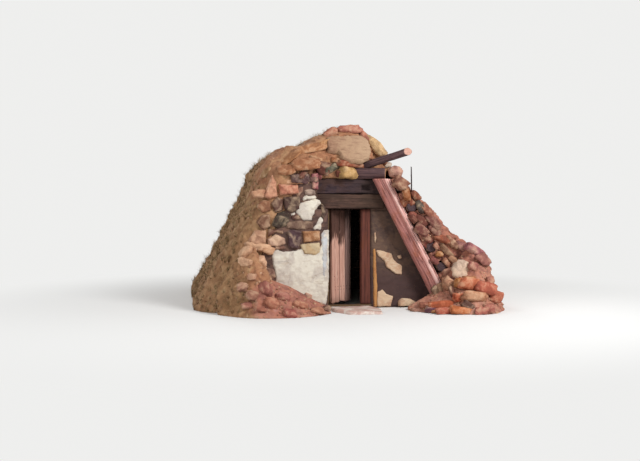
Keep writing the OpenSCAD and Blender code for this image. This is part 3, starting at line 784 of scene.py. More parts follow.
def lintel_log(node, low, high, wood, seed):
    middle = (low + high) / 2
    half = (high - low) / 2 - 0.001
    section = loop([(LOG_FRONT, -half), (LOG_BACK, -half), (LOG_BACK, half), (LOG_FRONT, half)], 0.012, 5)
    old = weathered(seed, 0.007, 0.003, ((-0.3, -0.12, 0.03, 0.05), (0.36, -0.12, -0.04, 0.04)))

    def push(x, y, z):
        worn = max(0.0, noise.fractal(Vector((x * 7, y * 9, z * 5 + seed)), 0.8, 2.1, 3))
        d = old(x, y, z) - 0.003 - 0.016 * worn
        away = max(abs(z - POCKET[0]) / POCKET_HALF[0], abs(middle + y - POCKET[1]) / POCKET_HALF[1])
        if x < -0.08 and away < 1.35:
            d -= POCKET_DEPTH * (1 - soft(0.85, 1.35, away))
        return d
    dressed(node, wood, section, lambda x, y: -LINTEL_HALF + 0.004 + 0.02 * y,
            lambda x, y: LINTEL_HALF - 0.004 - 0.04 * y, push,
            framed((0, 0.03, middle), (1, 0, 0), (0, 1, 0)), 0.016)


lintel_log("upper_lintel_log", 1.84, LINTEL_TOP, "dark_log", 3)
lintel_log("lower_lintel_log", 1.60, 1.84, "brown_log", 5)

# %% [markdown]
# The leaning timber is the strongest line of the front. Its section is a ridge: a dark face
# turned to the left, a narrow lit face to the right, and a long split between the lit face
# and a second strip behind it.

# %% The leaning timber
UP = Vector((-math.cos(LEAN), 0, math.sin(LEAN)))
OUT = Vector((math.sin(LEAN), 0, math.cos(LEAN)))
TIMBER_Y = -0.2203


def leaning_timber():
    section = loop([(-0.113, -0.015), (0.03, -0.118), (0.066, -0.112), (0.112, -0.075), (0.113, 0.118),
                    (-0.113, 0.118)], 0.009, 2)
    old = weathered(11, 0.006, 0.006, ((0.95, -0.03, -0.09, 0.05), (1.55, 0.03, -0.11, 0.035)))

    def push(x, y, z):
        d = old(x, y, z) - 0.004
        split = 0.074 + 0.012 * math.sin(z * 3.1) + 0.006 * noise.noise(Vector((0, 0, z * 9)))
        open_share = soft(0.15, 0.6, z) * (0.7 + 0.3 * noise.noise(Vector((3, 1, z * 2.3))))
        if y < -0.05:
            d -= 0.045 * open_share * math.exp(-((x - split) / 0.009) ** 2)
            crack = -0.03 + 0.02 * math.sin(z * 2.2)
            d -= 0.012 * math.exp(-((x - crack) / 0.006) ** 2) * soft(1.6, 1.1, z)
        return d
    top = LINTEL_TOP / math.sin(LEAN)
    dressed("right_leaning_timber", "rose_timber", section, lambda x, y: -x / math.tan(LEAN),
            lambda x, y: top - x / math.tan(LEAN) - 0.002, push,
            framed((FOOT, TIMBER_Y, 0), UP, OUT), 0.022, "leaning_timber_wood")


leaning_timber()

# %% [markdown]
# Two round poles lie on the lintel. The short thick one rests on the lintel and on the
# timber's top; the long one crosses over it and ends in a pale slanting cut.

# %% The poles on the lintel
SHORT = {"radius": 0.088, "length": 0.6307, "turn": 21}
LONG = {"radius": 0.066, "length": 1.015, "turn": 38, "rise": 15, "butt": 0.125, "cut": 35}
CROSSING = 0.23
SEAT = 0.0003
SHORT_BUTT = Vector((-0.047, 0.025, LINTEL_TOP + SEAT + SHORT["radius"]))


def heading(turn, rise):
    turn, rise = math.radians(turn), math.radians(rise)
    return Vector((math.cos(rise) * math.cos(turn), -math.cos(rise) * math.sin(turn), math.sin(rise)))


def lying_poles():
    short_way, long_way = heading(SHORT["turn"], 0), heading(LONG["turn"], LONG["rise"])
    apart = long_way.cross(short_way).normalized()
    long_butt = (SHORT_BUTT + short_way * CROSSING + apart * (SHORT["radius"] + LONG["radius"] + SEAT)
                 - long_way * LONG["butt"])
    dressed("short_pole", "purple_pole", circle(SHORT["radius"] - 0.003, 44), square_cut(0.0),
            lambda x, y: SHORT["length"] + 0.1 * y, weathered(21, 0.006, 0.005, ((0.42, 0.05, 0.05, 0.04),)),
            framed(SHORT_BUTT, short_way, (0, 0, 1)), 0.018)
    old = weathered(27, 0.005, 0.004, ((0.5, 0.05, -0.03, 0.035), (0.72, -0.04, 0.03, 0.03)))
    slant = math.tan(math.radians(LONG["cut"]))
    dressed("long_pole", "purple_pole", circle(LONG["radius"] - 0.003, 40), square_cut(0.0),
            lambda x, y: LONG["length"] - 0.002 - slant * (LONG["radius"] + y),
            lambda x, y, z: old(x, y, z) - 0.006 * z, framed(long_butt, long_way, (0, 0, 1)), 0.018)


lying_poles()

# %% [markdown]
# The door frame: a stout red-brown post on the latch side, a thin dark one on the hinge
# side, and the sill between them. Each is a beam of its own, a few millimetres smaller than
# its solid so that neighbours stay apart.

# %% Posts and sill
POST_FOOT, POST_TOP, POST_BACK = 0.0601, 1.5999, 0.11


def upright(node, left, right, wood, seed):
    middle, half = (left + right) / 2, (right - left) / 2
    dressed(node, wood, oblong(half - 0.002, POST_BACK / 2 - 0.002, 0.01, 2), square_cut(POST_FOOT),
            square_cut(POST_TOP), weathered(seed, 0.004, 0.003),
            framed((middle, POST_BACK / 2, 0), (0, 0, 1), (1, 0, 0)), 0.03)


upright("right_jamb", 0.20, 0.36, "red_wood", 31)
upright("left_jamb", -0.38, -0.32, "hewn_wood", 33)


def sill():
    worn = weathered(35, 0.003, 0.003)

    def push(x, y, z):
        tread = soft(0.27, 0.1, abs(z + 0.05)) * soft(0.0, 0.02, x) * soft(0.0, -0.05, y)
        return worn(x, y, z) - 0.008 * tread
    dressed("door_sill", "hewn_wood", oblong(0.029, 0.083, 0.01, 2), square_cut(-0.378), square_cut(0.358),
            push, framed((0, 0.025, 0.03), (1, 0, 0), (0, 0, 1)), 0.02)


sill()

# %% [markdown]
# The door: upright boards nailed to two ledges, hung on a squared stile. The boards are
# silvered to pink where the weather reaches them. The dark above, under the lintel, is a
# painted shadow, which the finish paints from the height above the ground with a ragged
# border. Near the ground it darkens them a little with damp.

# %% The door
HINGE = Vector((-0.2704, 0.055, 0))
AJAR = math.radians(38)
LEAF_LENGTH, STILE, BOARD, SEAM = 0.4604, 0.06, 0.1408, 0.004
LEAF_FOOT, LEAF_TOP = 0.0705, 1.589


def door_place(p):
    """From the leaf's own frame, hinge at the origin and leaf along X, to the house."""
    return HINGE + Matrix.Rotation(AJAR, 3, "Z") @ Vector(p)


def door_board(node, index, worn, material, seed):
    """worn is how high the foot has rotted away at the board's left and right edge."""
    middle = STILE / 2 + index * (BOARD + SEAM) + BOARD / 2
    half = BOARD / 2 - 0.002
    old = weathered(seed, 0.0035, 0.002, ((0.5, 0.02, -0.014, 0.02), (1.2, -0.03, -0.014, 0.018)))

    def push(x, y, z):
        d = old(x, y, z)
        if abs(x) > half - 0.004:
            d -= 0.002 + 0.003 * max(0.0, noise.noise(Vector((x * 9 + seed, 0, z * 5))))
        split = 0.012 * math.sin(z * 2.3 + seed)
        return d - 0.007 * math.exp(-((x - split) / 0.004) ** 2) * soft(0.9, 0.35, z)

    def foot(x, y):
        share = (x + half) / (2 * half)
        frayed = 0.006 * noise.noise(Vector((x * 60 + seed, seed, 0)))
        return LEAF_FOOT + worn[0] + (worn[1] - worn[0]) * share + abs(frayed)
    shape = Shape()
    beam(shape, oblong(half, 0.014, 0.007, 1), foot, square_cut(LEAF_TOP), push,
         lambda p: door_place((p[0] + middle, p[1], p[2])), 0.02, (seed * 0.37, 0, seed * 0.5))
    piece(node + "_wood", shape, material, "door", (node,))


def door_finish(name, dark, middle, light, shadow_low, shadow_high):
    """Weathered boards: grey-pink below, with a painted shadow above that has a ragged border."""
    finish = Finish(name, 0.85)
    at = finish.attribute("grain", "Vector")
    streak = finish.streaks((44, 44, 1.8), 6, 0.68, 0.3, at)
    fibre = finish.streaks((260, 260, 8), 4, 0.6, 0.0, at)
    checks = finish.spread(finish.streaks((64, 64, 1.3), 3, 0.6, 0.5, at), 0.40, 0.31)
    base = finish.ramp(streak * 0.7 + fibre * 0.3, (0.33, dark), (0.5, middle), (0.66, light))
    base = finish.mix(checks * 0.85, base, "#231A18")
    tall = finish.axis("Z")
    frayed = finish.streaks((13, 13, 2.2), 3, 0.6, 0.8) - 0.5
    # Painted shadow: the boards turn dark above a ragged line, under the lintel.
    painted_shadow = finish.spread(tall + frayed * 1.1, shadow_low, shadow_high)
    base = finish.mix(painted_shadow * 0.94, base, finish.darken(base, "#5A4C49"))
    damp = finish.spread(tall + frayed * 0.3, 0.22, 0.06)
    base = finish.mix(damp * 0.5, base, "#7A5A4E")
    return finish.done(base, streak * 0.45 + fibre * 0.35 - checks * 0.7, 0.005, 0.9)


PINK_BOARDS = door_finish("pink_boards", "#94665A", "#B98D7C", "#CBA796", 0.98, 1.2)
# The outer board, turned into the doorway, has darker colours: painted shade.
SHADED_EDGE_BOARD = door_finish("edge_board", "#4F403C", "#856860", "#A3827A", 1.2, 1.5)
door_board("door_board_inner", 0, (0.004, 0.012), PINK_BOARDS, 41)
door_board("door_board_middle", 1, (0.034, 0.018), PINK_BOARDS, 43)
door_board("door_board_outer", 2, (0.006, 0.026), SHADED_EDGE_BOARD, 47)

# %% [markdown]
# The stile is the squared post that the door turns on. Its wooden pintles, one at each end,
# sit in sockets in the sill and in the lower lintel log, so the door needs no iron hinge.
# The two ledges cross the boards from behind and hold them together.

# %% Stile and ledges
STILE_TOP = 1.5895
PINTLE_RADIUS = 0.0195
PINTLES = ((0.029, 0.08), (1.58, 1.6315))


def door_stile():
    shape = Shape()
    section = loop([(-0.029, -0.022), (-0.022, -0.029), (0.028, -0.029), (0.028, 0.029), (-0.022, 0.029),
                    (-0.029, 0.022)], 0.008, 1)
    beam(shape, section, square_cut(LEAF_FOOT), square_cut(STILE_TOP), weathered(51, 0.003, 0.002),
         door_place, 0.03)
    for low, high in PINTLES:
        beam(shape, circle(PINTLE_RADIUS, 20), square_cut(low), square_cut(high), lambda x, y, z: 0.0,
             door_place, 0.02)
    piece("door_stile_wood", shape, PINK_BOARDS, "door", ("door_stile",))


door_stile()


def door_ledge(node, low, seed):
    shape = Shape()
    place = framed((0, 0.0285, low + 0.055), (1, 0, 0), (0, 0, 1))
    beam(shape, oblong(0.054, 0.0125, 0.009, 1), square_cut(0.032),
         lambda x, y: LEAF_LENGTH - 0.022 + 0.4 * y, weathered(seed, 0.003, 0.001),
         lambda p: door_place(place(p)), 0.02)
    piece(node + "_wood", shape, WOODS["hewn_wood"], "door", (node,))


door_ledge("door_lower_ledge", 0.26, 53)
door_ledge("door_upper_ledge", 1.29, 57)

# %% [markdown]
# Plaster, flat stones and slabs are reliefs: an outline filled with a fine triangle mesh,
# raised from its edge inwards, with a closed back that sits inside the wall. The outlines of
# patches and stones are drawn in the picture's own measures and carried onto the wall along
# the camera's rays, which keeps each one where it is seen.

# %% Reliefs
def ragged(outline, spacing, amount, seed):
    """The outline, turned anticlockwise, with points at even steps, each moved a little."""
    outline = np.array(outline, float)
    x, y = outline[:, 0], outline[:, 1]
    if (x * np.roll(y, -1) - np.roll(x, -1) * y).sum() <= 0:
        outline = outline[::-1]
    shift = Vector((seed * 5.1, seed * 2.3, 0))
    moved = []
    for u, v in loop(outline, spacing, 1):
        at = Vector((u, v, 0)) * 17 + shift
        moved.append((u + amount * noise.noise(at), v + amount * noise.noise(at + Vector((9, 4, 2)))))
    return np.array(moved)


def relief(shape, outline, at, height, cell, amount, seed, base, tint=None):
    """A closed raised patch. height(u, v, d) is how far it stands out, d from its edge."""
    rim = ragged(outline, cell, amount, seed)
    chance = random.Random(seed)
    low, high = rim.min(0), rim.max(0)
    inner = []
    for u in np.arange(low[0], high[0], cell):
        for v in np.arange(low[1], high[1], cell):
            p = np.array((u + chance.uniform(-0.3, 0.3) * cell, v + chance.uniform(-0.3, 0.3) * cell))
            if np.linalg.norm(rim - p, axis=1).min() > cell * 0.7:
                inner.append(p)
    flat = [Vector(p) for p in rim] + [Vector(p) for p in inner]
    edges = [(i, (i + 1) % len(rim)) for i in range(len(rim))]
    flat, _, faces, *_ = geometry.delaunay_2d_cdt(flat, edges, [], 1, 1e-6)
    sides = [(a, b) for face in faces for a, b in zip(face, face[1:] + face[:1])]
    shared = set(sides)
    count = len(flat)
    front, back = [], []
    for p in flat:
        d = np.linalg.norm(rim - np.array(p), axis=1).min()
        front.append(at(p[0], p[1], height(p[0], p[1], d)))
        back.append(at(p[0], p[1], -base))
    whole = [tuple(f) for f in faces] + [tuple(count + i for i in f)[::-1] for f in faces]
    whole += [(b, a, count + a, count + b) for a, b in sides if (b, a) not in shared]
    shape.add(front + back, whole, tint)


def raised(name, shape, material, replaces=()):
    """A piece made of reliefs, with all its faces turned outwards."""
    made = piece(name, shape, material, replaces=replaces)
    mesh = bmesh.new()
    mesh.from_mesh(made.data)
    bmesh.ops.recalc_face_normals(mesh, faces=mesh.faces)
    mesh.to_mesh(made.data)
    mesh.free()


def rough_top(thick, edge, seed, lumps):
    """A height for a relief: rounded over at its edge, uneven on top."""
    shift = Vector((seed * 4.3, seed * 1.9, 0))

    def height(u, v, d):
        uneven = noise.fractal(Vector((u, v, 0)) * 13 + shift, 0.7, 2.1, 4)
        return thick * soft(0, 1, min(1.0, d / edge + 0.12)) * (1 + lumps * uneven)
    return height


# %% [markdown]
# The left wall is rubble under old whitewash. Its corner beside the door is rounded, so a
# place on it is given by its distance along the face, and `left_wall` bends it round the
# corner.

# %% The left wall
RUBBLE_FRONT, CORNER, OPENING_LEFT = -0.24, 0.11, -0.38
TURN_START = OPENING_LEFT - CORNER


def left_wall(u, v, h):
    """u runs along the face to the right, v is the height, h stands out."""
    if u < TURN_START:
        return Vector((u, RUBBLE_FRONT - h, v))
    a = (u - TURN_START) / CORNER
    reach = CORNER + h
    return Vector((TURN_START + reach * math.sin(a), RUBBLE_FRONT + CORNER - reach * math.cos(a), v))


def along_left(px, py):
    """A place in the picture as distances along and up the left wall's face."""
    p = spot(px, py, RUBBLE_FRONT)
    if p.x <= TURN_START:
        return p.x, p.z
    for _ in range(4):
        a = min(1.35, math.asin(min(1.0, max(0.0, (p.x - TURN_START) / CORNER))))
        p = spot(px, py, RUBBLE_FRONT + CORNER * (1 - math.cos(a)))
    return TURN_START + CORNER * a, p.z


# %% [markdown]
# Whitewash and plaster are one recipe: a pale and a darker colour in broad clouds, brush
# marks drawn out sideways, a stain, and fine cracks in places. Mortar is the same recipe in
# the colours of earth, and so is the daub, whose dark colours are painted shade.

# %% Plaster finishes
def plaster_finish(name, pale, shade, stain, foot=None):
    """foot is the colour that the wall turns to near the ground, on the daub a painted shadow."""
    finish = Finish(name, 0.9)
    broad = finish.noise(4.2, 5, 0.62, 0.7)
    fine = finish.noise(46, 6, 0.7)
    brushed = finish.streaks((7, 7, 26), 5, 0.65, 0.5)
    base = finish.mix(finish.spread(broad, 0.42, 0.6), pale, shade)
    base = finish.mix(finish.spread(brushed, 0.5, 0.72) * 0.55, base, stain)
    base = finish.mix(finish.spread(fine, 0.55, 0.75) * 0.3, base, stain)
    if foot:
        tall = finish.axis("Z") + (broad - 0.5) * 0.9
        base = finish.mix(finish.spread(tall, 0.75, 0.4) * 0.85, base, foot)
    cracks = finish.spread(finish.cells(5.2, "DISTANCE_TO_EDGE"), 0.010, 0.0)
    cracks = cracks * finish.spread(broad, 0.5, 0.6)
    base = finish.mix(cracks * 0.6, base, "#6E5A4C")
    return finish.done(base, broad * 0.3 + brushed * 0.5 + fine * 0.2 - cracks * 0.5, 0.007, 0.9)


WHITEWASH = plaster_finish("whitewash", "#CDC6B8", "#B9AFA4", "#A8957F")
# The bluish whitewash is whitewash in painted shade, on the rounded corner beside the door.
SHADED_WHITEWASH = plaster_finish("bluish_whitewash", "#B4B6B8", "#A5A09E", "#B8A798")
CREAMY = plaster_finish("creamy_whitewash", "#B6A385", "#AB916F", "#9D805D")
MORTAR = plaster_finish("mortar", "#604840", "#44332F", "#85644F")
# The daub's dark colours, darkest at the foot, are painted shade.
SHADED_DAUB = plaster_finish("dark_daub", "#5C473C", "#483833", "#6C5644", "#433130")

# %% [markdown]
# Single stones of the left wall show where the whitewash has fallen. Each row gives a
# stone's colour, how far it stands out in metres, and its outline in the picture. The
# patches of whitewash are given in the same way, with a finish in place of the colour.

# %% Stones and whitewash
LEFT_STONES = [
    ("#C08A70", 0.06, [(263, 197), (267, 187), (272, 174.5), (276, 182), (277.5, 197), (270, 199)]),
    ("#B58468", 0.045, [(251, 192), (258, 189), (266, 189.5), (264, 198), (254, 198)]),
    ("#B87862", 0.07, [(278.5, 184), (298, 185), (299, 194), (280, 195)]),
    ("#553E42", 0.05, [(290, 174), (309, 173), (311, 180), (307, 186), (300, 183.5), (291, 183)]),
    ("#9B5C62", 0.05, [(311, 173.5), (318, 173), (318.5, 190), (312, 189)]),
    ("#463430", 0.05, [(283, 197), (300, 196), (300, 209), (292, 213), (284, 209)]),
    ("#2E2B26", 0.05, [(271, 226), (277, 213), (284, 211), (290, 214), (289, 225), (279, 229)]),
    ("#6E564B", 0.04, [(285, 221.5), (300, 220.5), (314, 221.5), (313, 229), (300, 230), (286, 229)]),
    ("#46323C", 0.06, [(287, 231), (293, 229), (301, 231), (301, 240), (298, 249), (288, 248)]),
    ("#A0704C", 0.05, [(302, 231), (320, 230.5), (320, 241), (303, 243)]),
    ("#C2A08A", 0.05, [(267, 239), (276, 234), (285, 238), (286, 244), (278, 247), (268, 246)]),
    ("#825F51", 0.045, [(273, 247), (284, 245), (286, 249.5), (274, 250)]),
    ("#8A6A5E", 0.07, [(256, 271), (264, 266.5), (274, 269), (276, 277), (270, 283), (257, 280)]),
    ("#5E4038", 0.04, [(277, 197), (283, 199), (283, 210), (275, 213), (271, 203)]),
    ("#8F6248", 0.04, [(262, 200), (270, 201), (271, 211), (262, 213), (256, 206)]),
    ("#7A5643", 0.04, [(262, 215), (270, 214), (270, 227), (263, 231), (256, 222)]),
    ("#B48A70", 0.045, [(255, 230), (266, 230), (266, 243), (254, 247), (248, 240)]),
    ("#6E4A3E", 0.04, [(268, 229), (283, 230), (284, 235), (276, 232.5), (268, 237)]),
    ("#8A6557", 0.04, [(299, 187), (304, 187), (302, 193), (297, 198), (294, 191)]),
    ("#9C8A80", 0.045, [(304, 190), (309, 188.5), (315, 190), (315.5, 195), (305, 195.5)]),
    # Painted shadow: a dark stone where the lintel's shade falls beside the door.
    ("#3F2F2C", 0.035, [(320.5, 203), (325, 206), (326, 214), (323, 220), (320, 217), (321.5, 210)]),
    ("#5B3F3A", 0.035, [(291, 214), (297, 213), (303, 219.5), (298, 220), (291, 220)]),
]
LEFT_WHITES = [
    (WHITEWASH, 0.034, [(301.5, 202), (306, 200.5), (310, 200), (315.5, 198.5), (319.4, 200),
                        (321.5, 203), (319, 205.5), (317, 208.3), (315.3, 210.4), (315.6, 212.4),
                        (312.8, 216.4), (312.2, 220.2), (308, 221), (304, 221), (300.3, 219),
                        (299.5, 216.4), (296.5, 214.4), (295.1, 211.4), (296.2, 207.8), (298, 204.5)]),
    (WHITEWASH, 0.04, [(301.8, 199.9), (303.4, 196.3), (305, 195.2), (315.6, 195.6), (316.2, 198),
                       (313.3, 200.4), (309.5, 199.3), (306.4, 199.9), (303, 201.2)]),
    (WHITEWASH, 0.026, [(311.9, 228.8), (313, 227), (315.6, 224.4), (316.6, 219.8), (318.6, 217.6),
                        (320.2, 215.6), (322.2, 216.6), (323.2, 220.2), (322, 224), (321.6, 230),
                        (314, 230.4)]),
    (WHITEWASH, 0.03, [(290.6, 214), (292.6, 212), (295.4, 212.6), (296.2, 216), (293.4, 218.4),
                       (291.8, 217.4)]),
    (WHITEWASH, 0.03, [(271, 252), (276, 248.5), (283, 251), (296, 250), (303, 247.5), (312, 248),
                       (318, 251), (321, 244), (320, 236), (324, 230), (327.5, 229), (327.8, 250),
                       (327.8, 276), (327, 292), (325.5, 306), (318, 304), (308, 300), (296, 295),
                       (284, 292), (276, 290), (275, 274), (272, 263)]),
    # Painted shade: whitewash on the corner's turn, in shade.
    (SHADED_WHITEWASH, 0.036, [(320.5, 233), (324.5, 229.5), (326.5, 238), (326.3, 262), (324.5, 280), (321.5, 279),
                     (321, 262)]),
    (CREAMY, 0.05, [(299, 244), (320, 242), (320.5, 254), (312, 256), (303, 254)]),
]
MORTAR_OUTLINE = ((-1.86, 0.02), (-0.325, 0.02), (-0.325, 1.595), (-0.58, 1.6), (-0.6, 2.07), (-0.8, 2.07))


def left_wall_pieces():
    coat = Shape()
    relief(coat, MORTAR_OUTLINE, left_wall, rough_top(0.012, 0.03, 61, 0.9), 0.03, 0.006, 61, 0.015)
    raised("left_wall_mortar", coat, MORTAR)
    stones = Shape()
    for seed, (tint, thick, outline) in enumerate(LEFT_STONES, 70):
        relief(stones, [along_left(*p) for p in outline], left_wall, rough_top(thick, 0.022, seed, 0.35),
               0.016, 0.008, seed, 0.03, tint)
    raised("left_wall_stones", stones, STONE)
    for i, (finish, thick, outline) in enumerate(LEFT_WHITES):
        patch = Shape()
        relief(patch, [along_left(*p) for p in outline], left_wall, rough_top(thick, 0.03, 90 + i, 0.22),
               0.016, 0.014, 90 + i, 0.02)
        raised(f"whitewash_{i + 1}", patch, finish)


left_wall_pieces()

# %% [markdown]
# The right panel, between the post and the leaning timber, is daub in painted shade: its dark
# colours, darkest at the foot, stand for the timber's shadow. The cream patches on it and the
# ochre strip beside the post are painted sunlight, and one pale stone shows at its foot.

# %% The right panel
POST_RIGHT, DAUB_TOP = 0.364, 1.58


def daub_wall(u, v, h):
    return Vector((u, -h, v))


def along_daub(px, py):
    p = spot(px, py, 0.0)
    return p.x, max(p.z, 0.013)


# Painted sunlight: the cream patches are spots of light on the shaded daub.
SUNLIT_CREAM = plaster_finish("cream_plaster", "#BFA488", "#AE896F", "#CBBBA4")
# Painted sunlight: the ochre strip is light along the right side of the post.
SUNLIT_OCHRE = plaster_finish("ochre_plaster", "#AC7C4A", "#A06A40", "#B98F64")
DAUB_PATCHES = [
    (SUNLIT_CREAM, 0.022, [(375, 250), (383, 250.5), (391, 253), (394, 260), (402, 266), (401.5, 275),
                    (395, 274), (386, 267), (384, 261), (378, 256)]),
    (SUNLIT_CREAM, 0.02, [(397, 255.5), (401, 254.5), (402, 258), (398, 259)]),
    (SUNLIT_CREAM, 0.024, [(377, 292), (382, 289), (387, 294), (393, 296), (391.5, 304), (391, 310), (377, 309),
                    (376, 300)]),
    (SUNLIT_CREAM, 0.02, [(373.5, 233), (375.5, 231.5), (376.5, 240), (374.5, 244)]),
    (SUNLIT_OCHRE, 0.02, [(372.6, 249), (375.4, 248), (376.2, 265), (377.3, 285), (377, 307), (373, 309)]),
    (SUNLIT_CREAM, 0.09, [(397.5, 301), (401, 298), (410, 298.5), (418, 303), (417, 311), (405, 310.5),
                   (398, 307)]),
]


def daub_pieces():
    coat = Shape()
    slope = [(FOOT + 0.13 - z / math.tan(LEAN), z) for z in (0.01, DAUB_TOP)]
    outline = [(POST_RIGHT, 0.012), *slope, (POST_RIGHT, DAUB_TOP)]
    relief(coat, outline, daub_wall, rough_top(0.012, 0.03, 111, 0.9), 0.028, 0.004, 111, 0.012)
    raised("right_daub_coat", coat, SHADED_DAUB)
    for i, (finish, thick, outline) in enumerate(DAUB_PATCHES):
        patch = Shape()
        height = rough_top(thick + 0.016, 0.016, 120 + i, 0.15)
        relief(patch, [along_daub(*p) for p in outline], daub_wall, height, 0.012,
               0.004 if finish is SUNLIT_OCHRE else 0.009, 120 + i, 0.01)
        raised(f"daub_patch_{i + 1}", patch, finish)


daub_pieces()

# %% [markdown]
# The threshold is one worn slab, and the pale slab in the crown is a thin bed of rock that
# leans back with the earth. Both are reliefs on their own planes, thick enough to be solid
# stones.

# %% The slabs
SLAB_LEAN = math.radians(58)
SLAB_THICK = 0.085
SLAB_PLACE = Vector((-0.0235, 0.01, 2.56))
SLAB_OUTLINE = ((328.5, 150.5), (326.5, 143), (327, 136), (332, 135), (345, 134.8), (364, 134.8), (369, 140),
                (372, 149), (370, 157), (362, 161), (350, 160.5), (342, 157), (339, 151))
THRESHOLD_OUTLINE = ((-0.345, -0.066), (-0.345, -0.46), (-0.146, -0.81), (0.352, -0.85), (0.418, -0.46),
                     (0.33, -0.066))


def plane(origin, right, up):
    origin, right, up = Vector(origin), Vector(right), Vector(up)
    away = right.cross(up)
    return lambda u, v, h: origin + right * u + up * v + away * h


def pale_stone_finish(name, pale, rose, dark, lit_side=None):
    """The last colour is painted light: the stone turns to it towards the right, where light falls."""
    finish = Finish(name, 0.88)
    broad = finish.noise(4.5, 5, 0.62, 0.8)
    beds = finish.streaks((5, 5, 42), 5, 0.65, 0.3)
    fine = finish.noise(70, 5, 0.7)
    base = finish.mix(finish.spread(broad, 0.4, 0.6), pale, rose)
    # Painted light: the stone grows paler towards the right.
    if lit_side:
        right = finish.axis("X") + (broad - 0.5) * 0.9
        base = finish.mix(finish.spread(right, -0.4, 0.4) * 0.6, base, lit_side)
    base = finish.mix(finish.spread(beds, 0.5, 0.68) * 0.6, base, dark)
    base = finish.mix(finish.spread(fine, 0.5, 0.7) * 0.35, base, dark)
    return finish.done(base, broad * 0.4 + beds * 0.4 + fine * 0.3, 0.009, 0.85)


THRESHOLD = pale_stone_finish("threshold_stone", "#D2C6BC", "#B9978C", "#8F7267")
PALE_SLAB = pale_stone_finish("pale_slab", "#9E7F65", "#8A6752", "#684A39", "#B4987C")


def threshold():
    worn = rough_top(0.046, 0.03, 131, 0.0)

    def height(u, v, d):
        hollow = 0.008 * soft(0.35, 0.0, abs(u + 0.05)) * soft(-0.5, -0.2, v)
        return max(0.002, worn(u, v, d) - hollow + 0.002 * noise.fractal(Vector((u, v, 0)) * 14, 0.7, 2.1, 4))
    shape = Shape()
    relief(shape, THRESHOLD_OUTLINE, plane((0, 0, 0), (1, 0, 0), (0, 1, 0)), height, 0.022, 0.012, 131, 0.0)
    raised("threshold_stone", shape, THRESHOLD, ("threshold_slab",))


def crown_slab():
    up = Vector((0, math.cos(SLAB_LEAN), math.sin(SLAB_LEAN)))
    away = Vector((0, -math.sin(SLAB_LEAN), math.cos(SLAB_LEAN)))
    seen = [seen_on(px, py, SLAB_PLACE + away * SLAB_THICK, away) - SLAB_PLACE for px, py in SLAB_OUTLINE]
    shape = Shape()
    relief(shape, [(p.x, p.dot(up)) for p in seen], plane(SLAB_PLACE, (1, 0, 0), up),
           rough_top(SLAB_THICK, 0.02, 135, 0.12), 0.018, 0.01, 135, 0.0)
    raised("pale_slab", shape, PALE_SLAB, ("crown_slab",))


threshold()
crown_slab()

# %% [markdown]
# Stones on the earth. A ray through the picture finds where each one sits on the cover or
# on a bank, and the stone is sunk there by a little less than half of its depth. Sizes come
# from the picture too, and the distance along the ray turns its pixels into metres.

# %% Stones on the earth
def surface_tree(names):
    points, faces = [], []
    for name in names:
        mesh = bpy.data.objects[name].data
        start = len(points)
        points += [v.co.copy() for v in mesh.vertices]
        faces += [[start + i for i in p.vertices] for p in mesh.polygons]
    return bvhtree.BVHTree.FromPolygons(points, faces)


GROUND = surface_tree(["earth_cover", "left_bank_earth", "right_bank_earth", "right_packing",
                       "right_side_poles", "left_verge_stones", "left_rubble_wall"])
STONE_EDGE = 0.004


def earth_stone(shape, px, py, wide, tall, deep, tint, spin, seed, square, sink, flat):
    """A stone centred on a place in the picture, sunk into what carries it. Where it is flat
    it lies along the slope, otherwise it stands upright."""
    place, normal, _, _ = GROUND.ray_cast(camera.location, ray(px, py))
    size = (place - camera.location).length / FOCAL
    away = normal if flat else Vector((0, -1, 0))
    right = (Vector((1, 0, 0)) - away * away.x).normalized()
    up = away.cross(right)
    half = (wide / 2 * size, deep / 2 * size, tall / 2 * size / max(0.55, up.z))
    points, faces = rock(half, seed, square)
    points = points @ np.array(Matrix.Rotation(math.radians(spin), 3, "Y")).T
    centre = place + normal * (deep / 2 * size * (1 - 2 * sink)) * 0.5
    points = points @ np.array([right, -away, up]) + np.array(centre)
    shape.add(np.clip(points, np.array(LOW) + STONE_EDGE, np.array(HIGH) - STONE_EDGE), faces, tint)


# %% [markdown]
# The stones come in three groups: in the crown, in the verge and heap on the right, and on
# the left bank. Those on the right stand upright, the others lie along the slope. A row
# gives a stone's place, width, height and depth in the picture's pixels, then its colour and
# how far it is turned, in degrees. The place of a row in its table also fixes the shape of
# its stone, so new rows go at the end. The rounded stone by the timber's top is a finer ball
# with soft bumps.

# %% The stones, group by group
CROWN_STONES = [
    (350, 130.5, 28, 6.5, 9, "#A9685A", 3), (366, 138, 14, 6, 7, "#B0705C", 34),
    # The pale yellow stone at (375.5, 146.5) is painted light on the slab's right edge.
    (331, 132.5, 15, 6, 7, "#AC6C58", -10), (375.5, 146.5, 26, 9, 9, "#C9A87C", 44),
    (369, 156, 8, 8, 6, "#B27C5C", 0), (351, 164, 30, 7, 8, "#874028", 3),
    (366, 163, 12, 8, 8, "#84432E", 10), (336, 160, 12, 5, 5, "#8F5834", 12),
    (346, 172.5, 18, 13, 18, "#BF9A62", 4), (330, 169, 19, 7.5, 9, "#4E5244", -32),
    (339, 174, 9, 7, 8, "#6B3627", 0), (322, 168, 15, 14, 8, "#5C2C23", 10),
    (316, 160, 12, 7, 5, "#B98D6C", 24), (319, 176, 7, 6, 6, "#8A4A4C", 0),
    (306, 164, 30, 11, 5, "#A46D4B", 10), (290, 158, 26, 9, 4, "#AC774E", -8),
    (310, 149, 32, 9, 4, "#AE7952", -10), (287, 170, 20, 9, 6, "#A06A48", 10),
    (303, 175, 13, 8, 8, "#6F4238", 0), (325, 143, 14, 5, 5, "#B28156", -22),
    (387, 165.8, 9, 5, 7, "#BDB0A2", -15), (383, 162, 8, 5, 7, "#9C6C55", 20),
    (314, 180, 10, 6, 7, "#57393A", 0), (266, 173, 16, 7, 4, "#94704C", -20),
    (297, 182, 26, 4, 5, "#B98A6A", 4),
]
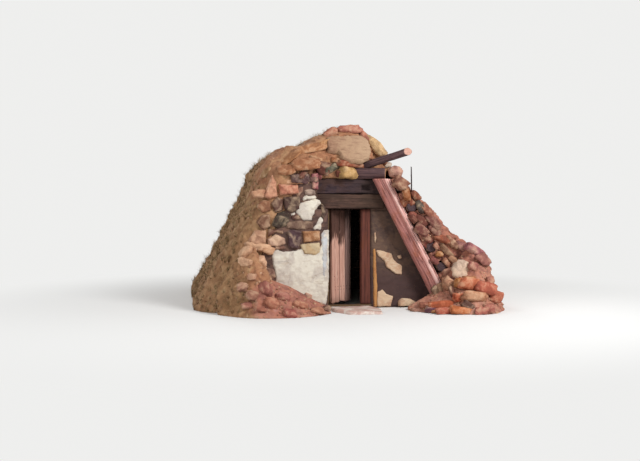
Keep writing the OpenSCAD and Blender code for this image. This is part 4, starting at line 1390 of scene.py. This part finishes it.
RIGHT_STONES = [
    (406, 194, 17, 8, 11, "#8F532C", 76), (400, 184, 15, 12, 12, "#835646", 30),
    (415, 195.5, 13, 7, 9, "#7E4430", 42), (408.5, 200.5, 9, 7, 8, "#844633", 50),
    (419.5, 207, 15, 6.5, 9, "#4A4440", 58), (427, 211, 21, 8, 8, "#8B5343", 52),
    (421, 220, 16, 9, 9, "#6D3A31", 52), (413.5, 218, 10, 7, 8, "#6D3A31", 48),
    (433, 222, 20, 9, 8, "#764641", 50), (413.5, 229.5, 7, 4.5, 7, "#A29790", 20),
    (421.5, 230.5, 16, 10, 10, "#733F3A", 36), (434, 230.5, 17, 8, 8, "#754641", 44),
    (441.5, 238.5, 19, 8, 9, "#944F38", 18), (426, 238, 12, 6, 8, "#763C35", 40),
    (451, 243, 18, 7, 9, "#926854", 42), (446.5, 251.5, 18, 6, 8, "#9F7B63", 42),
    (438.5, 254, 8, 6, 8, "#9B6335", 10), (427, 252.5, 9, 6, 7, "#6D413A", 45),
    (462, 268.5, 21, 19, 11, "#D0B8A4", 8), (462, 247, 18, 9, 10, "#966460", 32),
    (475, 251, 20, 9, 12, "#A0646A", 32), (484, 260.5, 14, 10, 11, "#966058", 45),
    (453, 260, 13, 6, 8, "#B18468", 42), (473, 266, 9, 9, 9, "#A0625A", 20),
    (434.5, 261, 10, 6, 7, "#8A4E4A", 50), (404.5, 210, 8, 6, 7, "#8E4A36", 50),
    (404, 202.5, 9, 7, 7, "#94543A", 60), (425.5, 244.5, 8, 5, 6, "#8C4A42", 50),
    (435.8, 246, 7, 5, 6, "#96584A", 50), (446.5, 273, 10, 6, 7, "#94584E", 40),
    (446, 262, 9, 6, 7, "#A8745C", 45), (413, 214, 9, 5, 7, "#8A4A3E", 30),
    (409, 224, 8, 6, 7, "#824840", 50), (416, 237, 9, 6, 7, "#8A4C44", 55),
    (468, 285, 22, 12, 14, "#B86444", 12), (484, 288, 22, 13, 14, "#AC5844", 14),
    (475, 297, 26, 10, 12, "#B07A5C", 6), (461, 284, 12, 11, 12, "#B4743E", 0),
    (495, 297, 13, 13, 12, "#A85A44", 20), (449, 284, 13, 12, 12, "#AE7E64", 20),
    (441, 288, 9, 10, 10, "#96705A", -10), (436, 292, 12, 7, 7, "#7C6250", 60),
    (453, 294, 16, 5, 7, "#74483E", 62), (440, 306, 26, 9, 12, "#B65D3A", -6),
    (461, 311, 24, 9, 12, "#BA6A3C", 8), (447, 312, 22, 8, 11, "#A8503F", 0),
    (432, 310.5, 14, 8, 11, "#6E4556", 4), (424, 306, 11, 7, 9, "#A26754", 0),
    (481, 312, 13, 9, 10, "#A65F54", 10), (416, 311, 9, 5, 7, "#A67C6C", 0),
    (468.5, 307, 15, 8, 8, "#5E443C", 36), (489, 281, 9, 9, 9, "#A86E60", 0),
    (447, 272, 9, 9, 9, "#A67463", 0), (459, 298, 11, 9, 10, "#B55636", 0),
    (434, 313, 8, 6, 7, "#B58054", 0), (471, 280, 12, 8, 10, "#B87A52", -10),
    (488, 309, 12, 9, 10, "#9E5A50", 0),
]
LEFT_BANK_STONES = [
    (283, 297, 15, 8, 10, "#A2645A", 12), (300, 306, 16, 7, 9, "#A86C56", 18),
    (266, 290, 14, 9, 10, "#9C6055", -8), (318, 312, 13, 6, 8, "#AE765E", 14),
    (272, 303, 17, 7, 9, "#AC6E58", 6), (290, 314, 14, 6, 8, "#A25850", 0),
    (252, 296, 13, 9, 10, "#966856", 20), (308, 296, 9, 6, 7, "#B59080", 30),
    (260, 309, 12, 6, 8, "#A06452", 0), (327, 309, 8, 5, 6, "#806052", 0),
    (243, 288, 11, 8, 9, "#A27662", 0), (247, 306, 12, 6, 8, "#A46A5C", 0),
    (256, 247, 22, 9, 10, "#D1A888", 10), (268, 250, 14, 9, 9, "#BF9170", 24),
    (246, 253, 16, 8, 9, "#C59A7B", -14), (246, 262, 16, 8, 8, "#CEA485", 18),
    (262, 262, 11, 8, 8, "#D1A688", 30), (252, 277, 10, 7, 8, "#B08069", 0),
]
STONE_GROUPS = (("crown_stones", CROWN_STONES, "rose_stone", 200, 0.42, True),
                ("right_rubble", RIGHT_STONES, "red_earth", 300, 0.36, False),
                ("left_bank_rubble", LEFT_BANK_STONES, "red_earth", 400, 0.4, True))
ROUND_HALF = (0.12, 0.118, 0.104)
ROUND_PLACE = (0.714, -0.2153, 2.1895)


def stones_on_earth():
    for name, rows, slot, first, sink, flat in STONE_GROUPS:
        shape = Shape()
        for i, row in enumerate(rows):
            earth_stone(shape, *row, first + i, 0.5 + 0.15 * (i % 3), sink, flat)
        piece(name, shape, STONE)


def rounded_stone():
    shape = Shape()
    ways, faces = FINE_BALL
    bumps = np.array([noise.fractal(Vector(w) * 1.6 + Vector((4, 1, 7)), 0.8, 2.1, 4) for w in ways])
    points = ways * (0.98 + 0.12 * bumps)[:, None] * np.array(ROUND_HALF) + np.array(ROUND_PLACE)
    shape.add(points, faces, "#B4877A")
    piece("rounded_stone", shape, STONE, replaces=("shoulder_stone",))


stones_on_earth()
rounded_stone()

# %% [markdown]
# The stake is a thin stick pushed into the edge of the earth. It is a beam like the others,
# bent a little and cut off at a slant.

# %% The stake
def stake(foot, length, lean):
    way = Vector((0, math.sin(lean), math.cos(lean)))
    bend = weathered(71, 0.002, 0.004, ((0.2, 0.01, 0.01, 0.012), (0.41, -0.01, 0, 0.01)))
    dressed("stake", "dark_log", circle(0.011, 14), square_cut(0.0),
            lambda x, y: length - 0.002 - 0.8 * (x + 0.011), lambda x, y, z: bend(x, y, z) - 0.003 * z,
            framed(foot, way, (1, 0, 0)), 0.014)


stake((0.936, -0.366, 1.7185), 0.56, math.radians(2.8))

# %% [markdown]
# What repeats comes from plans of geometry nodes, built here in script. `Plan` makes a node
# group with named inputs, runs it on a mesh and hands back a plain mesh, so nothing of
# the group stays on the piece. A log, a tuft of grass and a crumb of stone are each described
# once, and a few numbers say how many there are and where.

# %% Plans
class Plan(Tree):
    """A geometry node group with named inputs."""

    families = ("GeometryNode", "FunctionNode", "ShaderNode")
    kinds = {int: "Int", float: "Float", tuple: "Vector"}

    def __init__(self, name, **values):
        super().__init__(bpy.data.node_groups.new(name, "GeometryNodeTree"))
        sockets = self.tree.interface
        sockets.new_socket("Mesh", in_out="INPUT", socket_type="NodeSocketGeometry")
        sockets.new_socket("Mesh", in_out="OUTPUT", socket_type="NodeSocketGeometry")
        self.keys = {}
        for key, value in values.items():
            kind = "NodeSocket" + self.kinds[type(value)]
            socket = sockets.new_socket(key, in_out="INPUT", socket_type=kind)
            socket.default_value = value
            self.keys[key] = socket.identifier
        self.entry = self.tree.nodes.new("NodeGroupInput")
        self.exit = self.tree.nodes.new("NodeGroupOutput")
        self.place = self.node("InputPosition")

    def given(self, name):
        return Wire(self, self.entry.outputs[name])

    def random(self, low, high, seed, kind="FLOAT_VECTOR"):
        """A random number or vector for each point, always the same for the same seed."""
        tail = {"FLOAT_VECTOR": "", "FLOAT": "_001"}[kind]
        return self.node("RandomValue", {"data_type": kind},
                         {"Min" + tail: low, "Max" + tail: high, "Seed": seed}, "Value" + tail)

    def store(self, geometry, name, value, kind="FLOAT_VECTOR", domain="POINT"):
        return self.node("StoreNamedAttribute", {"data_type": kind, "domain": domain},
                         {"Geometry": geometry, "Name": name, "Value": value})

    def named(self, name, kind="FLOAT_VECTOR"):
        return self.node("InputNamedAttribute", {"data_type": kind}, {"Name": name}, "Attribute")

    def lumps(self, at, factors, detail=2.0):
        """Noise about zero, to push points with."""
        at = self.stretch(at, factors)
        return self.node("TexNoise", {}, {"Vector": at, "Scale": 1.0, "Detail": detail}, "Fac") - 0.5

    def push(self, geometry, offset):
        return self.node("SetPosition", {}, {"Geometry": geometry, "Offset": offset})

    def scaled(self, vector, by):
        return self.node("VectorMath", {"operation": "SCALE"}, {0: vector, "Scale": by})

    def copies(self, points, instance, **turned):
        return self.node("InstanceOnPoints", {}, {"Points": points, "Instance": instance, **turned})

    def realized(self, geometry):
        return self.node("RealizeInstances", {}, {"Geometry": geometry})

    def close(self, geometry, material):
        """Gives the finished mesh its material and ends the plan."""
        smooth = self.node("SetShadeSmooth", {}, {"Geometry": geometry})
        done = self.node("SetMaterial", {}, {"Geometry": smooth, "Material": material})
        self.tree.links.new(done.socket, self.exit.inputs[0])
        return self

    def run(self, name, base=None, **values):
        source = placed(name + "_source", base or bpy.data.meshes.new(name + "_source"))
        modifier = source.modifiers.new("plan", "NODES")
        modifier.node_group = self.tree
        for key, value in values.items():
            modifier[self.keys[key]] = value
        graph = bpy.context.evaluated_depsgraph_get()
        mesh = bpy.data.meshes.new_from_object(source.evaluated_get(graph))
        bpy.data.objects.remove(source)
        return placed(name, mesh)


print("plans take", ", ".join(kind.lower() for kind in Plan.kinds.values()), "inputs")

# %% [markdown]
# The poles that carry the earth: a row of equal logs along Y, from the front to the back
# wall. Each gets its own shift of the grain, so that no two look alike. On the right their
# noses show in the front between the packing. On the left a facing of stones covers them,
# and they are seen only from inside.

# %% Long poles
FIRST, PITCH, POLE, POLE_OUT = 0.292, 0.3611, 0.085, 0.2003
START = (FOOT - FIRST * math.cos(LEAN) + POLE_OUT * math.sin(LEAN),
         FIRST * math.sin(LEAN) + POLE_OUT * math.cos(LEAN))
RISE = (-PITCH * math.cos(LEAN), PITCH * math.sin(LEAN))
BACK = 3.326


def log_plan():
    plan = Plan("row_of_logs", Count=5, Start=(0.0, 0.0, 0.0), Step=(0.0, 0.0, 0.2), Radius=0.08, Length=3.0,
                Seed=1)
    log = plan.node("MeshCylinder", {"fill_type": "TRIANGLE_FAN"}, {
        "Vertices": 26, "Side Segments": 44, "Fill Segments": 3, "Radius": plan.given("Radius"),
        "Depth": plan.given("Length")}, None)
    geometry = plan.store(Wire(plan, log.outputs["Mesh"]), "grain", plan.place)
    geometry = plan.store(geometry, "end", 1.0 - Wire(plan, log.outputs["Side"]), "FLOAT", "FACE")
    geometry = plan.store(geometry, "cut_end", Wire(plan, log.outputs["Bottom"]), "FLOAT")
    half = plan.node("CombineXYZ", {}, {"Y": plan.given("Length") * 0.5})
    geometry = plan.node("Transform", {}, {"Geometry": geometry, "Rotation": (-math.pi / 2, 0, 0),
                                           "Translation": half})
    row = plan.node("MeshLine", {"mode": "OFFSET"}, {
        "Count": plan.given("Count"), "Start Location": plan.given("Start"), "Offset": plan.given("Step")})
    shift = plan.random((0, 0, 0), (30, 30, 30), plan.given("Seed"))
    logs = plan.realized(plan.store(plan.copies(row, geometry), "shift", shift, domain="INSTANCE"))
    logs = plan.store(logs, "grain", plan.vector("ADD", plan.named("grain"), plan.named("shift")))
    grain = plan.named("grain")
    flutes = plan.lumps(grain, (22, 22, 1.5))
    swell = plan.lumps(grain, (2, 2, 1.8))
    hewn = plan.lumps(grain, (11, 11, 0.9), 1.0)
    depth = flutes * 0.010 + swell * 0.010 + hewn * 0.05 - 0.012
    logs = plan.push(logs, plan.scaled(plan.node("InputNormal"), depth))
    chips = plan.lumps(grain, (26, 26, 0.5), 3.0) * plan.named("cut_end", "FLOAT")
    logs = plan.push(logs, plan.node("CombineXYZ", {}, {"Y": (chips + 0.22) * 0.05}))
    return plan.close(logs, WOODS["pole_wood"])


LOGS = log_plan()


def pole_row(name, count, start, step, seed, node=None):
    """Logs from start to the back wall, each a step from the last."""
    made = LOGS.run(name, Count=count, Start=start, Step=step, Radius=POLE - 0.001,
                    Length=BACK - start[1] - 0.002, Seed=seed)
    settle(made, "house", (node,) if node else ())


def side_row(name, side, count, front, first, seed, node=None):
    """Logs up one leaning side. first is how many places up the lowest of them lies."""
    start = (side * (START[0] + first * RISE[0]), front, START[1] + first * RISE[1])
    pole_row(name, count, start, (side * RISE[0], 0.0, RISE[1]), seed, node)


side_row("right_lowest_pole", 1, 1, -0.338, 0, 3)
side_row("right_poles", 1, 5, -0.3833, 1, 5, "right_side_poles")
side_row("left_poles", -1, 6, -0.0577, 0, 7, "left_side_poles")
pole_row("ridge_poles", 3, (-0.38, 0.204, 2.1653), (0.38, 0.0, 0.0), 9, "top_poles")

# %% [markdown]
# Nails. Each board is held to the ledges by pairs of hand-made nails, and three old ones
# stand in the inner board. Their places are points on the boards' front, and the plan sets a
# flattened head on each.

# %% Nails
BOARD_FRONT = -0.0155
OLD_NAILS = ((332, 272.5), (334.5, 276.5), (334.2, 280))
NAIL_ROWS = (0.29, 0.34, 1.32, 1.37)


def iron():
    finish = Finish("old_iron", 0.7)
    rust = finish.noise(90, 3, 0.6)
    return finish.done(finish.ramp(rust, (0.35, "#1E1816"), (0.6, "#4A2E24")), rust, 0.001)


def nail_plan():
    plan = Plan("nails", Size=0.007)
    head = plan.node("MeshIcoSphere", {}, {"Radius": plan.given("Size"), "Subdivisions": 2}, "Mesh")
    head = plan.node("Transform", {}, {"Geometry": head, "Scale": (1, 0.45, 1), "Rotation": (0, 0, AJAR)})
    return plan.close(plan.realized(plan.copies(plan.given("Mesh"), head)), iron())


def nails():
    away = Matrix.Rotation(AJAR, 3, "Z") @ Vector((0, -1, 0))
    places = [seen_on(px, py, door_place((0, BOARD_FRONT, 0)), away) for px, py in OLD_NAILS]
    for index in range(3):
        for share in (0.25, 0.75):
            for z in NAIL_ROWS:
                along = STILE / 2 + index * (BOARD + SEAM) + share * BOARD
                places.append(door_place((along + 0.004 * math.sin(9 * z + index), BOARD_FRONT, z)))
    mesh = bpy.data.meshes.new("nail_places")
    mesh.from_pydata(places, [], [])
    settle(nail_plan().run("door_nails", mesh), "door")


nails()

# %% [markdown]
# Dry grass and crumbs of stone lie over the earth where the painted shares call for them.
# Both plans scatter points over the cover and set a small solid on each one. Hair would be
# the usual choice for grass, but closed blades export like any other mesh.

# %% Grass and crumbs
FULL_TURN = 6.28


def tint_finish(name, roughness):
    """A finish for small things that each carry their own colour."""
    finish = Finish(name, roughness)
    tint = finish.attribute("tint", "Vector")
    fine = finish.noise(60, 3, 0.6)
    shade = finish.mix(finish.spread(fine, 0.35, 0.65) * 0.5, tint, finish.darken(tint, "#A8937E"))
    return finish.done(shade, fine, 0.003, 0.5)


def scatter(plan, small, weight, low, high, first, scales, dark, pale):
    """Sets a small solid on points strewn over the mesh, each turned, sized and tinted."""
    spots = plan.node("DistributePointsOnFaces", {"distribute_method": "RANDOM"}, {
        "Mesh": plan.given("Mesh"), "Density": plan.named(weight, "FLOAT") * plan.given("Density"),
        "Seed": plan.given("Seed")}, "Points")
    made = plan.copies(spots, small, Rotation=plan.random(low, high, first),
                       Scale=plan.random(*scales, first + 1))
    shade = plan.node("Mix", {"data_type": "VECTOR"}, {
        "Factor_Float": plan.random(0.0, 1.0, first + 2, "FLOAT"),
        "A_Vector": colour(dark)[:3], "B_Vector": colour(pale)[:3]}, "Result_Vector")
    return plan.realized(plan.store(made, "tint", shade, domain="INSTANCE"))


def grass_plan():
    plan = Plan("tufts", Density=60.0, Seed=1, Height=0.1)
    blade = plan.node("MeshCone", {"fill_type": "NGON"}, {
        "Vertices": 3, "Side Segments": 2, "Radius Top": 0.0, "Radius Bottom": 0.004,
        "Depth": plan.given("Height")}, "Mesh")
    up = plan.axis("Z") / plan.given("Height")
    blade = plan.push(blade, plan.node("CombineXYZ", {}, {"X": up * up * plan.given("Height") * 0.5}))
    around = plan.node("MeshCircle", {}, {"Vertices": 6, "Radius": 0.012})
    turned = plan.random((-0.5, -0.5, 0), (0.5, 0.5, FULL_TURN), 11)
    sized = plan.random((0.8, 0.8, 0.4), (1.2, 1.2, 1.1), 12)
    tuft = plan.realized(plan.copies(around, blade, Rotation=turned, Scale=sized))
    tufts = scatter(plan, tuft, "grow", (-0.35, -0.35, 0), (0.35, 0.35, FULL_TURN), 13,
                    ((0.7, 0.7, 0.5), (1.3, 1.3, 1.2)), "#6E5636", "#BFA278")
    return plan.close(tufts, tint_finish("dry_grass", 0.8))


def crumb_plan():
    plan = Plan("crumbs", Density=30.0, Seed=1, Size=0.02)
    crumb = plan.node("MeshIcoSphere", {}, {"Radius": plan.given("Size"), "Subdivisions": 2}, "Mesh")
    way = plan.vector("NORMALIZE", plan.place)
    rough = plan.lumps(way, (1.7, 1.7, 1.7)) * plan.given("Size") * 1.6
    crumb = plan.push(crumb, plan.scaled(way, rough))
    crumbs = scatter(plan, crumb, "crumbs", (0, 0, 0), (FULL_TURN, FULL_TURN, FULL_TURN), 21,
                     ((0.4, 0.4, 0.3), (1.5, 1.2, 1.0)), "#8A5C48", "#C9A488")
    return plan.close(crumbs, tint_finish("crumbs", 0.9))


GRASS, CRUMBS = grass_plan(), crumb_plan()


def strew(name, seed, plan, kind, density):
    """Runs a plan over a skin of earth and keeps the result on the ground and in the box."""
    made = plan.run(f"{name}_{kind}", bpy.data.objects[name].data.copy(), Density=density, Seed=seed)
    points = np.empty(len(made.data.vertices) * 3, np.float32)
    made.data.vertices.foreach_get("co", points)
    points = np.clip(points.reshape(-1, 3), np.array(LOW), np.array(HIGH))
    made.data.vertices.foreach_set("co", points.ravel())
    made.data.update()
    settle(made, "house")


strew("earth_cover", 0, GRASS, "grass", 90.0)
strew("earth_cover", 0, CRUMBS, "crumbs", 22.0)
strew("left_bank_earth", 1, GRASS, "grass", 60.0)
strew("left_bank_earth", 1, CRUMBS, "crumbs", 90.0)
strew("right_bank_earth", 2, CRUMBS, "crumbs", 130.0)
strew("right_packing", 3, CRUMBS, "crumbs", 60.0)

# %% [markdown]
# The solids that stay as they are get finishes of their own. They have no painted numbers, so
# rubble, daub and the woods inside take everything from where they are.

# %% Finishes on the frame's own solids
def rubble_finish(name, joint, *tints):
    """Laid stones with earth between them, in place of single stones where few will look."""
    finish = Finish(name, 0.92)
    at = finish.stretch(finish.warped(3.0, 0.22), (1, 1, 1.6))
    fine = finish.noise(50, 5, 0.7)
    stops = [(0.2 + 0.6 * i / (len(tints) - 1), tint) for i, tint in enumerate(tints)]
    base = finish.ramp(finish.axis("X", finish.cells(5.0, at=at, output="Color")), *stops)
    base = finish.mix(finish.spread(fine, 0.4, 0.65) * 0.4, base, "#4A3A32")
    seam = finish.spread(finish.cells(5.0, "DISTANCE_TO_EDGE", at), 0.09, 0.02)
    base = finish.mix(seam * 0.85, base, joint)
    return finish.done(base, fine * 0.2 - seam, 0.02, 0.9)


FRAME_FINISHES = {
    "left_rubble_wall": rubble_finish("wall_rubble", "#4A3A33", "#7E5C4E", "#A27A64", "#6B5048", "#B08C74"),
    "left_verge_stones": rubble_finish("verge_rubble", "#5A4334", "#8E6A52", "#B08A6C", "#7A5A48"),
    # The frame's daub wall gets the daub's painted shade.
    "back_wall": rubble_finish("back_rubble", "#3A2E28", "#6E5A4E", "#8A7262", "#5A4840"),
    "right_daub_wall": SHADED_DAUB,
}
for name in ("inner_lower_lintel", "inner_upper_lintel", "front_frame_cap", "rear_frame_cap"):
    FRAME_FINISHES[name] = WOODS["log_across"]
for name in ("front_frame_legs", "rear_frame_legs"):
    FRAME_FINISHES[name] = WOODS["post"]
for name, finish in FRAME_FINISHES.items():
    slots = NODES[name].data.materials
    slots.clear()
    slots.append(finish)
left_bare = [name for name in NODES if not NODES[name].hide_render and name not in FRAME_FINISHES]
print("solids without a finish:", left_bare)
